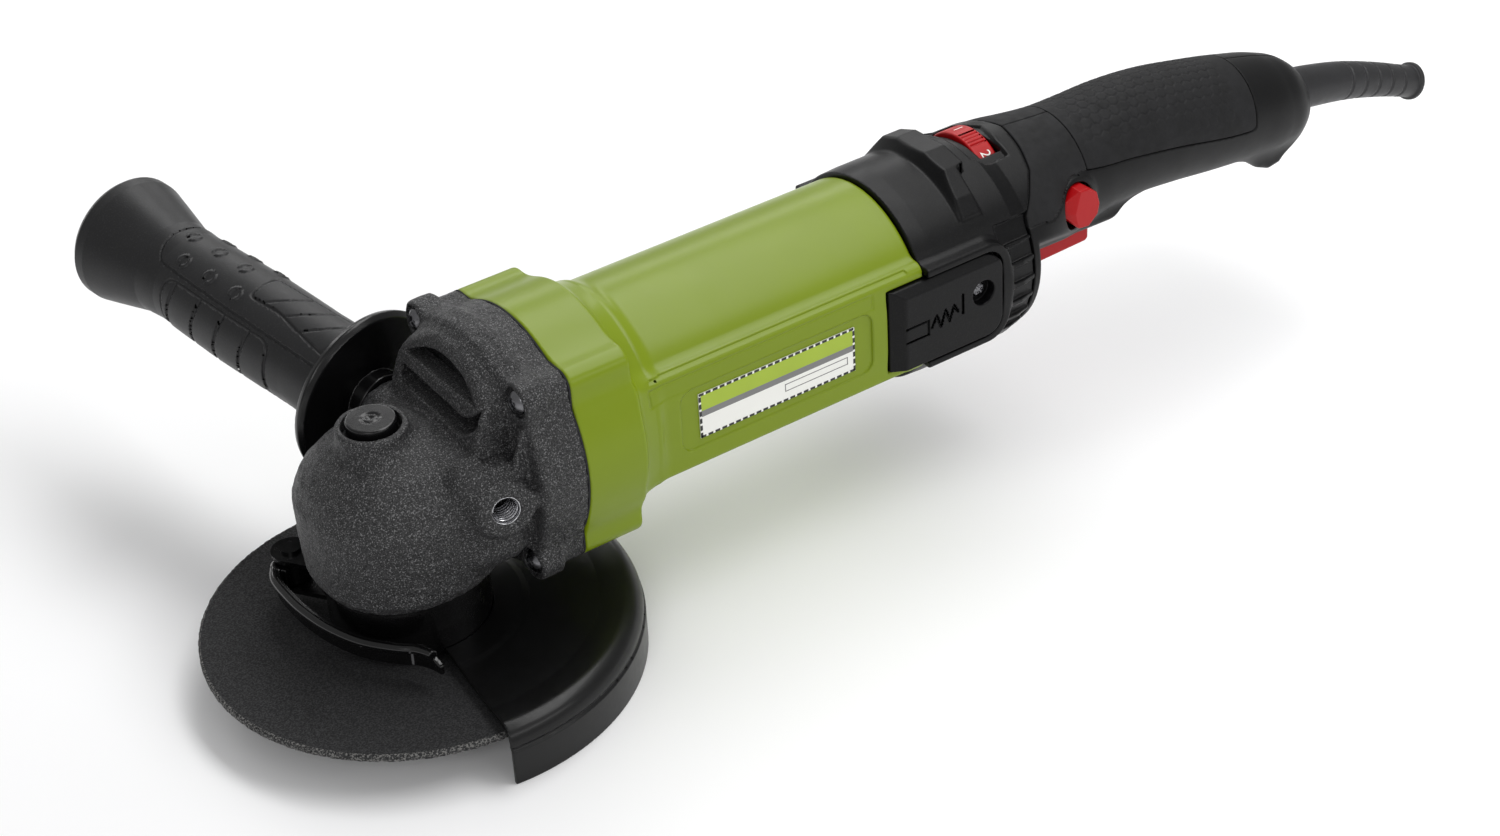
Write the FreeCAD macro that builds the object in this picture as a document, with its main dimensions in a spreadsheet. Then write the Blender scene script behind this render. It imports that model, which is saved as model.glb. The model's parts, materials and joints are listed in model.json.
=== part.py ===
"""Corded angle grinder for 125 mm discs, built from separate pieces.

The frame: X runs along the motor from the gear head to the rear handle, Y points to the side
handle, Z is up along the spindle, and the origin is the free lower end of the spindle.
Lengths are in millimetres, angles in degrees.
"""
import FreeCAD, Part
import Sketcher
import math
import os

V = FreeCAD.Vector
doc = FreeCAD.newDocument("AngleGrinder")

# ---------------------------------------------------------------- driving dimensions

DIMENSIONS = {
    # spindle line
    "motor_height": 60.5,
    "disc_radius": 62.5,
    "disc_thickness": 2.5,
    "disc_bottom": 7.75,
    "disc_bore": 11.115,
    "thread_radius": 7.0,
    "spindle_radius": 6.0,
    "spindle_tip": 4.0,
    "spindle_length": 67.0,
    "running_gap": 0.05,
    "flange_radius": 17.0,
    "nut_radius": 20.0,
    "lower_bearing_radius": 16.0,
    "lower_bearing_base": 19.0,
    "lower_bearing_height": 10.0,
    "upper_bush_radius": 6.5,
    "upper_bush_base": 59.5,
    "upper_bush_height": 8.0,
    # bevel gears
    "crown_teeth": 37,
    "pinion_teeth": 12,
    "tooth_module": 1.05,
    "face_width": 6.4,
    "gear_backlash": 0.30,
    # gear head
    "head_bottom": 31.0,
    "head_radius": 28.2,
    "head_cavity": 22.0,
    "flange_front": 27.0,
    "flange_back": 41.5,
    "flange_round": 37.5,
    "flange_half": 31.5,
    "corner_radius": 5.0,
    "screw_offset": 27.3,
    "button_radius": 7.3,
    "button_x": -4.5,
    "button_base": 75.5,
    "button_top": 82.0,
    "button_travel": 4.0,
    "lock_pin_radius": 1.8,
    "lock_pin_x": -9.5,
    # guard
    "guard_radius": 67.9,
    "guard_sheet": 1.6,
    "guard_top": 14.0,
    "guard_skirt": -4.6,
    "collar_radius": 21.5,
    "band_inner": 21.8,
    "band_outer": 23.8,
    "band_top": 28.0,
    "pivot_x": -21.0,
    "pivot_y": 31.5,
    "pivot_radius": 2.0,
    # motor
    "gasket": 0.5,
    "bell_back": 62.0,
    "barrel_radius": 32.2,
    "barrel_back": 166.0,
    "panel_half": 31.0,
    "panel_height": 18.5,
    "wall": 2.7,
    "stator_radius": 28.6,
    "core_radius": 19.5,
    "core_front": 92.0,
    "core_back": 148.0,
    "shaft_radius": 5.0,
    "journal_radius": 4.0,
    "shaft_nose": 2.5,
    "commutator_radius": 12.0,
    "fan_radius": 31.0,
    # rear housing and handle
    "rear_radius": 33.8,
    "rear_back": 208.0,
    "rear_bearing_radius": 11.0,
    "rear_bearing_front": 184.0,
    "dial_radius": 16.0,
    "dial_offset": 17.3,
    "dial_front": 206.3,
    "dial_width": 7.4,
    "shell": 2.6,
    "grip_depth": 1.4,
    "sleeve_bore": 4.0,
    # side handle
    "stud_radius": 4.0,
    "disc_guard_radius": 25.5,
}

sheet = doc.addObject("Spreadsheet::Sheet", "Dims")
for row, (alias, size) in enumerate(DIMENSIONS.items(), start=1):
    sheet.set("A%d" % row, str(size))
    sheet.setAlias("A%d" % row, alias)
doc.recompute()


class Dim:
    """A size worked out from the sheet: its value, and the expression that gives it."""

    def __init__(self, text, value):
        self.text = text
        self.value = value

    def __add__(self, other):
        return Dim("(%s + %s)" % (self.text, text_of(other)), self.value + number(other))

    def __radd__(self, other):
        return Dim("(%s + %s)" % (text_of(other), self.text), number(other) + self.value)

    def __sub__(self, other):
        return Dim("(%s - %s)" % (self.text, text_of(other)), self.value - number(other))

    def __rsub__(self, other):
        return Dim("(%s - %s)" % (text_of(other), self.text), number(other) - self.value)

    def __mul__(self, other):
        return Dim("(%s * %s)" % (self.text, text_of(other)), self.value * number(other))

    def __rmul__(self, other):
        return Dim("(%s * %s)" % (text_of(other), self.text), number(other) * self.value)

    def __neg__(self):
        return Dim("(0 - %s)" % self.text, -self.value)


def number(size):
    """The plain value of a Dim or of a number."""
    return size.value if isinstance(size, Dim) else float(size)


def text_of(size):
    return size.text if isinstance(size, Dim) else repr(float(size))


class Sizes:
    """Gives each of the sheet's cells by its alias, as a Dim."""

    def __getattr__(self, alias):
        return Dim("Dims.%s" % alias, float(DIMENSIONS[alias]))


d = Sizes()

# ---------------------------------------------------------------- building blocks

pieces = []
AXES = {"X": V(1, 0, 0), "Y": V(0, 1, 0), "Z": V(0, 0, 1)}
PLANES = {"X": "YZ_Plane", "Y": "XZ_Plane", "Z": "XY_Plane"}


def bind(obj, prop, size):
    """Drive a property from the sheet, or set it where the size is a plain number."""
    if isinstance(size, Dim):
        obj.setExpression(prop, size.text)
    else:
        setattr(obj, prop, size)


def place(obj, base=(0, 0, 0), rotation=None):
    """Put an object at base, whose coordinates may be driven, turned by rotation."""
    obj.Placement = FreeCAD.Placement(V(*[number(c) for c in base]), rotation or FreeCAD.Rotation())
    for name, coordinate in zip("xyz", base):
        if isinstance(coordinate, Dim):
            obj.setExpression("Placement.Base." + name, coordinate.text)
    return obj


def toward(direction):
    """The rotation that turns +Z to a direction, given as an axis letter or a vector."""
    if isinstance(direction, str):
        direction = AXES[direction]
    return FreeCAD.Rotation(V(0, 0, 1), direction)


def turned_about(axis, degrees):
    return FreeCAD.Rotation(AXES[axis], degrees)


def cylinder(radius, length, base=(0, 0, 0), axis="Z", sweep=360, start=0):
    """A cylinder or a sector of one, from base along an axis."""
    obj = doc.addObject("Part::Cylinder", "Cylinder")
    bind(obj, "Radius", radius)
    bind(obj, "Height", length)
    obj.Angle = sweep
    rotation = toward(axis).multiply(turned_about("Z", start)) if start else toward(axis)
    return place(obj, base, rotation)


def cone(radius_low, radius_high, length, base=(0, 0, 0), axis="Z"):
    obj = doc.addObject("Part::Cone", "Cone")
    bind(obj, "Radius1", radius_low)
    bind(obj, "Radius2", radius_high)
    bind(obj, "Height", length)
    return place(obj, base, toward(axis))


def box(low, high, rotation=None):
    """A box between two corners, turned about its low corner if a rotation is given."""
    obj = doc.addObject("Part::Box", "Box")
    for prop, a, b in zip(("Length", "Width", "Height"), low, high):
        bind(obj, prop, b - a)
    return place(obj, low, rotation)


def hexagon(flat, length, base, axis="Z"):
    """A six-sided prism, flat being the distance across its flats."""
    obj = doc.addObject("Part::Prism", "Prism")
    obj.Polygon = 6
    bind(obj, "Circumradius", flat * (1 / math.sqrt(3)))
    bind(obj, "Height", length)
    return place(obj, base, toward(axis))


def fuse(*objects):
    if len(objects) == 1:
        return objects[0]
    obj = doc.addObject("Part::MultiFuse", "Fuse")
    obj.Shapes = list(objects)
    return obj


def group(*objects):
    """Separate solids kept together, such as a set of screws."""
    obj = doc.addObject("Part::Compound", "Group")
    obj.Links = list(objects)
    return obj


def cut(base, *tools):
    obj = doc.addObject("Part::Cut", "Cut")
    obj.Base = base
    obj.Tool = fuse(*tools)
    return obj


def common(*objects):
    obj = doc.addObject("Part::MultiCommon", "Common")
    obj.Shapes = list(objects)
    return obj


def fillet(base, radius, wanted):
    """Round the edges of base that the test wanted(edge) picks."""
    doc.recompute()
    picked = [n for n, edge in enumerate(base.Shape.Edges, start=1) if wanted(edge)]
    obj = doc.addObject("Part::Fillet", "Fillet")
    obj.Base = base
    obj.Edges = [(n, number(radius), number(radius)) for n in picked]
    return obj


def along(axis):
    """A test for straight edges that run along an axis."""
    def wanted(edge):
        if len(edge.Vertexes) != 2:
            return False
        run = edge.Vertexes[1].Point - edge.Vertexes[0].Point
        return run.Length > 0.01 and abs(abs(run.dot(AXES[axis])) - run.Length) < 1e-4
    return wanted


def outline_sketch(body, plane, points, offset=0):
    """A closed outline of straight lines whose corners are driven from the sheet."""
    sketch = body.newObject("Sketcher::SketchObject", "Outline")
    origin_plane = [o for o in body.Origin.OriginFeatures if o.Role == PLANES[plane]][0]
    sketch.AttachmentSupport = [(origin_plane, "")]
    sketch.MapMode = "FlatFace"
    sketch.AttachmentOffset = FreeCAD.Placement(V(0, 0, number(offset)), FreeCAD.Rotation())
    if isinstance(offset, Dim):
        sketch.setExpression("AttachmentOffset.Base.z", offset.text)
    count = len(points)
    corners = [V(number(a), number(b), 0) for a, b in points]
    for i in range(count):
        sketch.addGeometry(Part.LineSegment(corners[i], corners[(i + 1) % count]), False)
    for i in range(count):
        sketch.addConstraint(Sketcher.Constraint("Coincident", i, 2, (i + 1) % count, 1))
    for i, (a, b) in enumerate(points):
        for kind, axis_line, size in (("DistanceX", -2, a), ("DistanceY", -1, b)):
            if number(size) == 0:
                sketch.addConstraint(Sketcher.Constraint("PointOnObject", i, 1, axis_line))
                continue
            n = sketch.addConstraint(Sketcher.Constraint(kind, -1, 1, i, 1, number(size)))
            if isinstance(size, Dim):
                sketch.setExpression("Constraints[%d]" % n, size.text)
    return sketch


def turned(name, points, axis="Z", sweep=360):
    """A turned piece. Points are (radius, height) about Z, or (length, radius) about X."""
    body = doc.addObject("PartDesign::Body", name)
    sketch = outline_sketch(body, "Y", points)
    feature = body.newObject("PartDesign::Revolution", "Turn")
    feature.Profile = sketch
    feature.ReferenceAxis = (sketch, ["V_Axis" if axis == "Z" else "H_Axis"])
    feature.Angle = sweep
    return body


def plate(name, plane, points, thickness, offset=0, symmetric=False):
    """A flat outline given thickness. Its plane is named by the axis that it faces."""
    body = doc.addObject("PartDesign::Body", name)
    sketch = outline_sketch(body, plane, points, offset)
    feature = body.newObject("PartDesign::Pad", "Thickness")
    feature.Profile = sketch
    bind(feature, "Length", thickness)
    feature.Midplane = symmetric
    return body


def lofted(stations, shrink=0):
    """A smooth body through circles given as (x, height, radius), shrunk all round."""
    rings = []
    for x, height, radius in stations:
        ring = doc.addObject("Part::Circle", "Station")
        bind(ring, "Radius", radius - shrink)
        rings.append(place(ring, (x, 0, height), toward("X")))
    obj = doc.addObject("Part::Loft", "Loft")
    obj.Sections = rings
    obj.Solid = True
    obj.Ruled = False
    return obj


def coil_spring(radius, wire, turns, length, base, axis="Z"):
    """A round wire wound at an even pitch, from base along an axis."""
    helix = doc.addObject("Part::Helix", "Helix")
    bind(helix, "Radius", radius)
    helix.Pitch = length / turns
    helix.Height = length
    helix.Placement = FreeCAD.Placement(V(0, 0, 0), FreeCAD.Rotation())
    end = doc.addObject("Part::Circle", "Wire")
    end.Radius = wire
    place(end, (radius, 0, 0), toward(V(0, 1, 0)))
    sweep = doc.addObject("Part::Sweep", "Spring")
    sweep.Sections = [end]
    sweep.Spine = (helix, ["Edge1"])
    sweep.Solid = True
    sweep.Frenet = True
    return place(group(sweep), base, toward(axis))


def repeat(make, count):
    """Copies about the axis that make() uses, each told its angle."""
    return [make(360.0 * i / count) for i in range(count)]


def piece(name, obj):
    """Register a finished sub-part under the name of its file."""
    obj.Label = name
    pieces.append((name, obj))
    return obj


def shape_piece(name, shape):
    """A sub-part whose shape is worked out in code."""
    obj = doc.addObject("Part::Feature", name)
    obj.Shape = shape
    return piece(name, obj)


def polar(radius, degrees):
    return radius * math.cos(math.radians(degrees)), radius * math.sin(math.radians(degrees))


# ---------------------------------------------------------------- spindle line

disc_top = d.disc_bottom + d.disc_thickness
flange_top = disc_top + 5.25


def build_spindle():
    shoulder = d.lower_bearing_base
    gear_seat = 44.0
    gear_top = 51.5
    ring_groove = d.spindle_radius - 0.5
    piece("spindle", turned("spindle", [
        (0, 0),
        (d.thread_radius, 0),
        (d.thread_radius, 2.3),
        (d.thread_radius - 0.6, 2.3),
        (d.thread_radius - 0.6, 2.8),
        (d.thread_radius, 2.8),
        (d.thread_radius, flange_top),
        (d.thread_radius + 1.5, flange_top),
        (d.thread_radius + 1.5, shoulder),
        (d.spindle_radius, shoulder),
        (d.spindle_radius, gear_seat - 3.5),
        (d.spindle_radius + 2, gear_seat - 3.5),
        (d.spindle_radius + 2, gear_seat),
        (d.spindle_radius, gear_seat),
        (d.spindle_radius, gear_top + 0.1),
        (ring_groove, gear_top + 0.1),
        (ring_groove, gear_top + 1.1),
        (d.spindle_radius, gear_top + 1.1),
        (d.spindle_radius, gear_top + 1.8),
        (d.spindle_tip, gear_top + 2.6),
        (d.spindle_tip, d.spindle_length - 0.6),
        (d.spindle_tip - 0.6, d.spindle_length),
        (0, d.spindle_length),
    ]))
    ring = cut(cylinder(7.2, 1.0, (0, 0, gear_top + 0.1)),
               cylinder(ring_groove, 1.0, (0, 0, gear_top + 0.1)),
               box((3.0, -1.6, gear_top), (9.0, 1.6, gear_top + 2)))
    piece("retaining_ring", ring)


def build_wheel_mounting():
    piece("inner_flange", turned("inner_flange", [
        (d.thread_radius, disc_top - 1.9),
        (d.disc_bore - 0.1, disc_top - 1.9),
        (d.disc_bore - 0.1, disc_top),
        (d.flange_radius, disc_top),
        (d.flange_radius, disc_top + 2.2),
        (d.flange_radius - 4, flange_top),
        (d.thread_radius, flange_top),
    ]))
    piece("grinding_disc", turned("grinding_disc", [
        (d.disc_bore, d.disc_bottom),
        (d.disc_radius, d.disc_bottom),
        (d.disc_radius, disc_top),
        (d.disc_bore, disc_top),
    ]))
    nut_height = 4.75
    spanner_holes = repeat(lambda a: cylinder(2.5, 3.0, (*polar(15.0, a), d.disc_bottom - nut_height)), 4)
    nut = cut(turned("clamp_nut_blank", [
        (d.thread_radius, d.disc_bottom - nut_height),
        (d.nut_radius - 1, d.disc_bottom - nut_height),
        (d.nut_radius, d.disc_bottom - nut_height + 1),
        (d.nut_radius, d.disc_bottom),
        (d.thread_radius, d.disc_bottom),
    ]), *spanner_holes)
    piece("clamp_nut", nut)


def bearing(name, bore, outer, width, base, axis):
    """A sealed ball bearing as one ring, with its seals set back between the races."""
    middle = (bore + outer) * 0.5
    race = (number(outer) - number(bore)) * 0.2
    setback = 0.6
    profile = [
        (bore, 0), (middle - race, 0), (middle - race, setback), (middle + race, setback),
        (middle + race, 0), (outer, 0), (outer, width), (middle + race, width),
        (middle + race, width - setback), (middle - race, width - setback), (middle - race, width),
        (bore, width)]
    ring = turned(name + "_ring", profile)
    return piece(name, place(group(ring), base, toward(axis)))


def build_head_bearings():
    bearing("spindle_lower_bearing", d.spindle_radius + d.running_gap, d.lower_bearing_radius,
            d.lower_bearing_height, (0, 0, d.lower_bearing_base), "Z")
    bush = cut(cylinder(d.upper_bush_radius, d.upper_bush_height, (0, 0, d.upper_bush_base)),
               cylinder(d.spindle_tip + d.running_gap, d.upper_bush_height, (0, 0, d.upper_bush_base)))
    piece("spindle_upper_bush", bush)
    top = d.lower_bearing_base + d.lower_bearing_height
    cover_flange = 24.6
    cover = turned("cover_blank", [
        (d.flange_radius + 0.8, d.guard_top),
        (d.collar_radius, d.guard_top),
        (d.collar_radius, top - 0.5),
        (cover_flange, top - 0.5),
        (cover_flange, d.head_bottom),
        (d.head_cavity - 0.1, d.head_bottom),
        (d.head_cavity - 0.1, d.head_bottom + 3),
        (d.lower_bearing_radius, d.head_bottom + 3),
        (d.lower_bearing_radius, d.lower_bearing_base),
        (d.thread_radius + 2.1, d.lower_bearing_base),
        (d.thread_radius + 2.1, flange_top + 1.5),
        (d.flange_radius + 0.8, flange_top + 1.5),
    ])
    holes = repeat(lambda a: cylinder(1.5, 8.0, (*polar(19.3, a + 45), d.head_bottom - 5)), 4)
    piece("bearing_cover", cut(cover, *holes))
    screws = repeat(lambda a: fuse(
        cylinder(1.5, 5.0, (*polar(19.3, a + 45), d.head_bottom + 3 - 5)),
        cylinder(2.4, 1.6, (*polar(19.3, a + 45), d.head_bottom + 3))), 4)
    piece("bearing_cover_screws", group(*screws))


# ---------------------------------------------------------------- bevel gears

module = DIMENSIONS["tooth_module"]
crown_pitch = module * DIMENSIONS["crown_teeth"] / 2
pinion_pitch = module * DIMENSIONS["pinion_teeth"] / 2
cone_distance = math.hypot(crown_pitch, pinion_pitch)
inner_scale = 1 - DIMENSIONS["face_width"] / cone_distance
apex = V(0, 0, DIMENSIONS["motor_height"])
crown_addendum = 0.75 * module
pinion_addendum = 1.15 * module
PRESSURE_ANGLE = math.radians(20)


def crown_tooth_outline():
    """Half of a crown tooth across its pitch cone, as (half width, height) from root to tip."""
    pitch_half = math.pi * module / 4 - 0.10 - DIMENSIONS["gear_backlash"] / 4
    root = -1.6 * module
    return [(pitch_half - h * math.tan(PRESSURE_ANGLE), h) for h in (root, crown_addendum)]


def pinion_tooth_outline():
    """Half of a pinion tooth, an involute on its virtual radius, from root to tip."""
    virtual = pinion_pitch / math.cos(math.atan2(pinion_pitch, crown_pitch))
    base = virtual * math.cos(PRESSURE_ANGLE)
    pitch_half = (math.pi * module / 4 + 0.10 - DIMENSIONS["gear_backlash"] / 4) / virtual
    involute = math.tan(PRESSURE_ANGLE) - PRESSURE_ANGLE
    tip = virtual + pinion_addendum
    points = []
    for step in range(5):
        radius = base + (tip - base) * step / 4
        turn = math.acos(base / radius)
        half = pitch_half + involute - (math.tan(turn) - turn)
        points.append((radius * math.sin(half), radius * math.cos(half) - virtual))
    foot = virtual - 1.7 * module
    waist = (points[0][0] * 0.80, points[0][1] - 0.25 * module)
    return [(waist[0], foot - virtual), waist] + points


def bevel_tooth(outline, pitch_point, across, outward):
    """One straight tooth that narrows toward the apex of the cones."""
    rings = []
    for scale in (1.0, inner_scale):
        centre = apex + (pitch_point - apex) * scale
        side = [(w * scale, h * scale) for w, h in outline]
        loop = [(-w, h) for w, h in side] + [(w, h) for w, h in reversed(side)]
        corners = [centre + across * w + outward * h for w, h in loop]
        rings.append(Part.makePolygon(corners + [corners[0]]))
    return Part.makeLoft(rings, True, True)


def gear_with_teeth(blank, outline, count, pitch_point, axis, first_angle):
    """Teeth fused round a blank, about an axis through the apex."""
    along_cone = (pitch_point - apex).normalize()
    across = AXES["Y"]
    outward = across.cross(along_cone)
    if axis == "Z":
        outward = outward if outward.z > 0 else -outward
    else:
        outward = outward if outward.z < 0 else -outward
    tooth = bevel_tooth(outline, pitch_point, across, outward)
    teeth = []
    for i in range(count):
        copy = tooth.copy()
        copy.rotate(apex, AXES[axis], first_angle + 360.0 * i / count)
        teeth.append(copy)
    return blank.multiFuse(teeth).removeSplitter()


def revolved_blank(points, axis):
    """A ring turned from (radius, height) points about Z, or (length, radius) points about X."""
    if axis == "Z":
        corners = [V(r, 0, z) for r, z in points]
        centre = V(0, 0, 0)
    else:
        corners = [V(x, 0, apex.z + r) for x, r in points]
        centre = apex
    wire = Part.makePolygon(corners + [corners[0]])
    return Part.Face(wire).revolve(centre, AXES[axis], 360)


def build_gears():
    pitch_point = V(crown_pitch, 0, apex.z - pinion_pitch)
    slope = math.atan2(crown_pitch, pinion_pitch)
    root = 1.25 * module
    root_outer = (crown_pitch - root * math.cos(slope), pitch_point.z - root * math.sin(slope))
    root_inner = (crown_pitch * inner_scale - root * inner_scale * math.cos(slope),
                  apex.z - (pinion_pitch + root * math.sin(slope)) * inner_scale)
    web_top = 51.5

    def extended(point, run):
        """A point of the root cone moved outward along it."""
        return point[0] + run * math.sin(slope), point[1] - run * math.cos(slope)

    blank = revolved_blank([
        (number(d.spindle_radius), 44.0), (9.0, 44.0), (9.0, 46.5), (17.2, 46.5), (18.6, 48.2),
        (18.6, root_outer[1] - 1.4), extended(root_outer, 0.25), extended(root_inner, -0.6),
        (root_inner[0] - 0.6, web_top),
        (number(d.spindle_radius), web_top)], "Z")
    lock_holes = []
    for i in range(4):
        x, y = polar(-number(d.lock_pin_x), 90 * i)
        lock_holes.append(Part.makeCylinder(number(d.lock_pin_radius) + 0.5, 10, V(x, y, 44)))
    crown = gear_with_teeth(blank, crown_tooth_outline(), DIMENSIONS["crown_teeth"], pitch_point, "Z", 0)
    shape_piece("crown_gear", crown.cut(lock_holes))

    bore = DIMENSIONS["shaft_nose"]
    root_radius = pinion_pitch - 1.35 * module
    front = crown_pitch * inner_scale
    pinion_blank = revolved_blank([
        (front + 0.2, bore), (front + 0.2, root_radius * inner_scale),
        (crown_pitch, root_radius), (crown_pitch + 1.0, 6.6), (23.0, 6.6), (23.0, 5.6), (27.0, 5.6),
        (27.0, bore)], "X")
    pinion = gear_with_teeth(pinion_blank, pinion_tooth_outline(), DIMENSIONS["pinion_teeth"],
                             pitch_point, "X", 180.0 / DIMENSIONS["pinion_teeth"])
    shape_piece("bevel_pinion", pinion.cut(Part.makeCylinder(bore, 20, V(10, 0, apex.z), V(1, 0, 0))))
    nut = cut(hexagon(7.0, 3.0, (front - 3.3, 0, d.motor_height), "X"),
              cylinder(d.shaft_nose, 3.0, (front - 3.3, 0, d.motor_height), "X"))
    piece("pinion_nut", nut)


# ---------------------------------------------------------------- gear head

def bell_body(front, back, shrink=0):
    """The outline shared by the gear head's flange and the motor's front: a circle over a square."""
    half = d.flange_half - shrink
    zc = d.motor_height
    square = box((front, -half, zc - half), (back, half, zc + half))
    square = fillet(square, d.corner_radius, along("X"))
    return fuse(cylinder(d.flange_round - shrink, back - front, (front, 0, zc), "X"), square)


def side_axis(side):
    """The direction of a side-handle hole, which leans forward and up."""
    return V(-0.216, side, 0.121).normalize()


def side_seat(side):
    """The centre of a side-handle hole's face."""
    return V(16.5, side * 34.0, 59.4)


def screw_places():
    offset = d.screw_offset
    return [(sy * offset, d.motor_height + sz * offset) for sy in (-1, 1) for sz in (-1, 1)]


def build_gear_head():
    zc = d.motor_height
    pot = turned("pot", [
        (0, d.head_bottom), (d.head_radius - 3.0, d.head_bottom), (d.head_radius - 1.2, d.head_bottom + 5),
        (d.head_radius, 48), (d.head_radius, 57), (d.head_radius - 2.0, 63), (d.head_radius - 8, 71),
        (12, 76.5), (6, 78.5), (0, 78.5)])
    neck = plate("neck", "Y", [
        (0, 36), (30, 30), (30, 92), (25.0, 91), (19.5, 86.5), (16.5, 76), (6, 74), (0, 70)],
        46.0, symmetric=True)
    skirt = box((4, -30.5, 36), (28, 30.5, 76))
    skirt = fillet(skirt, 8.0, along("X"))
    button_boss = cylinder(d.button_radius + 3.2, 14.0, (d.button_x, 0, 66.0))
    flange = bell_body(d.flange_front, d.flange_back)
    bosses = [cylinder(8.5, 16.0, side_seat(s) - side_axis(s) * 16, side_axis(s)) for s in (-1, 1)]
    outside = fuse(pot, neck, skirt, button_boss, flange, *bosses)

    boss = cylinder(d.upper_bush_radius + 1.5, 30, (0, 0, d.upper_bush_base - 0.5))
    pot_space = cut(fuse(cylinder(d.head_cavity, 56 - d.head_bottom, (0, 0, d.head_bottom)),
                         cone(d.head_cavity, 15.0, 9.0, (0, 0, 56))), boss)
    pinion_space = cylinder(14.5, 21.4, (8.2, 0, zc), "X")
    plate_seat = cylinder(26.1, d.flange_back - 29.0, (29.0, 0, zc), "X")
    air_way = common(cylinder(33.6, 18.0, (24.0, 0, zc), "X"), box((24.0, -20, 84.0), (42.0, 20, 98)))
    vents = [box((10, -17.5, 76.6), (30, 17.5, 79.8)), box((12, -17.5, 83.0), (30, 17.5, 87.4))]
    bush_seat = cylinder(d.upper_bush_radius, d.upper_bush_height, (0, 0, d.upper_bush_base))
    bush_mouth = cylinder(d.upper_bush_radius - 1, 2.0, (0, 0, d.upper_bush_base - 1))
    pocket = cylinder(d.button_radius + 0.2, 12.0, (d.button_x, 0, 71.0))
    pin_way = cylinder(d.lock_pin_radius + d.running_gap, 22.0, (d.lock_pin_x, 0, 54.0))
    screw_ways = [cylinder(2.6, 20.0, (24.0, y, z), "X") for y, z in screw_places()]
    screw_seats = [cylinder(4.6, 12.0, (18.0, y, z), "X") for y, z in screw_places()]
    side_holes = [cylinder(d.stud_radius, 12.0, side_seat(s) - side_axis(s) * 12, side_axis(s))
                  for s in (-1, 1)]
    piece("gear_housing", cut(outside, pot_space, pinion_space, plate_seat, air_way, bush_seat, bush_mouth,
                              pocket, pin_way, *vents, *screw_ways, *screw_seats, *side_holes))


def build_head_fasteners():
    heads = []
    for y, z in screw_places():
        head = cut(cylinder(4.2, 4.2, (25.6, y, z), "X"), hexagon(4.0, 2.5, (25.6, y, z), "X"))
        heads.append(fuse(head, cylinder(2.5, 30.0, (29.8, y, z), "X")))
    piece("gearbox_screws", group(*heads))
    gasket = cut(bell_body(d.flange_back, d.flange_back + d.gasket),
                 cylinder(26.1, 2.0, (d.flange_back - 1, 0, d.motor_height), "X"),
                 box((d.flange_back - 1, -20, 84), (d.flange_back + 2, 20, 91)),
                 *[cylinder(2.6, 4.0, (d.flange_back - 1, y, z), "X") for y, z in screw_places()])
    piece("gearbox_gasket", gasket)


def build_spindle_lock():
    floor = 71.0
    button = turned("button_blank", [
        (0, d.button_base), (d.button_radius, d.button_base), (d.button_radius, d.button_top - 0.8),
        (d.button_radius - 0.8, d.button_top), (2.0, d.button_top), (1.6, d.button_top - 0.6),
        (0, d.button_top - 0.6)])
    socket = cylinder(d.lock_pin_radius, 2.0, (d.lock_pin_x, 0, d.button_base))
    piece("lock_button", cut(place(group(button), (d.button_x, 0, 0)), socket))
    tip = 53.6
    piece("lock_pin", fuse(cylinder(d.lock_pin_radius, d.button_base + 2.0 - tip - 1,
                                    (d.lock_pin_x, 0, tip + 1)),
                           cone(d.lock_pin_radius - 0.5, d.lock_pin_radius, 1.0, (d.lock_pin_x, 0, tip))))
    piece("lock_spring", coil_spring(3.4, 0.3, 3, 3.6, (d.button_x + 1.6, 0, floor + 0.4)))


# ---------------------------------------------------------------- guard and its clamp

GUARD_START = -96.5


def build_guard():
    sheet_under = d.guard_top - d.guard_sheet
    inner = d.guard_radius - d.guard_sheet
    bend = 3.2
    shell = turned("guard_sheet_metal", [
        (d.band_outer, sheet_under), (inner - bend, sheet_under), (inner - 0.9, sheet_under - 0.9),
        (inner, sheet_under - bend), (inner, d.guard_skirt),
        (d.guard_radius, d.guard_skirt), (d.guard_radius, sheet_under - bend),
        (d.guard_radius - 1.3, d.guard_top - 1.3), (inner - bend, d.guard_top), (d.band_outer, d.guard_top)],
        sweep=180)
    piece("guard_shell", place(group(shell), (0, 0, 0), turned_about("Z", GUARD_START)))
    gap_start = 134.0
    band_height = d.band_top - sheet_under
    band = cut(cylinder(d.band_outer, band_height, (0, 0, sheet_under), sweep=346, start=gap_start + 14),
               cylinder(d.band_inner, band_height + 2, (0, 0, sheet_under - 1)))
    piece("guard_band", band)


def lug_plate(base, thickness):
    """One ear of the bracket: a tongue from the band out to the pivot."""
    reach = math.hypot(number(d.pivot_x), number(d.pivot_y))
    angle = math.degrees(math.atan2(number(d.pivot_y), number(d.pivot_x)))
    tongue = box((0, -6.0, 0), (reach - number(d.band_outer) - 0.4, 6.0, thickness))
    x, y = polar(number(d.band_outer) + 0.2, angle)
    out = FreeCAD.Rotation(V(0, 0, 1), angle)
    corner = V(x, y, base) + out.multVec(V(0, -6.0, 0))
    tongue.Placement = FreeCAD.Placement(corner, out)
    eye = cylinder(6.0, thickness, (d.pivot_x, d.pivot_y, base))
    return fuse(tongue, eye)


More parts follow.
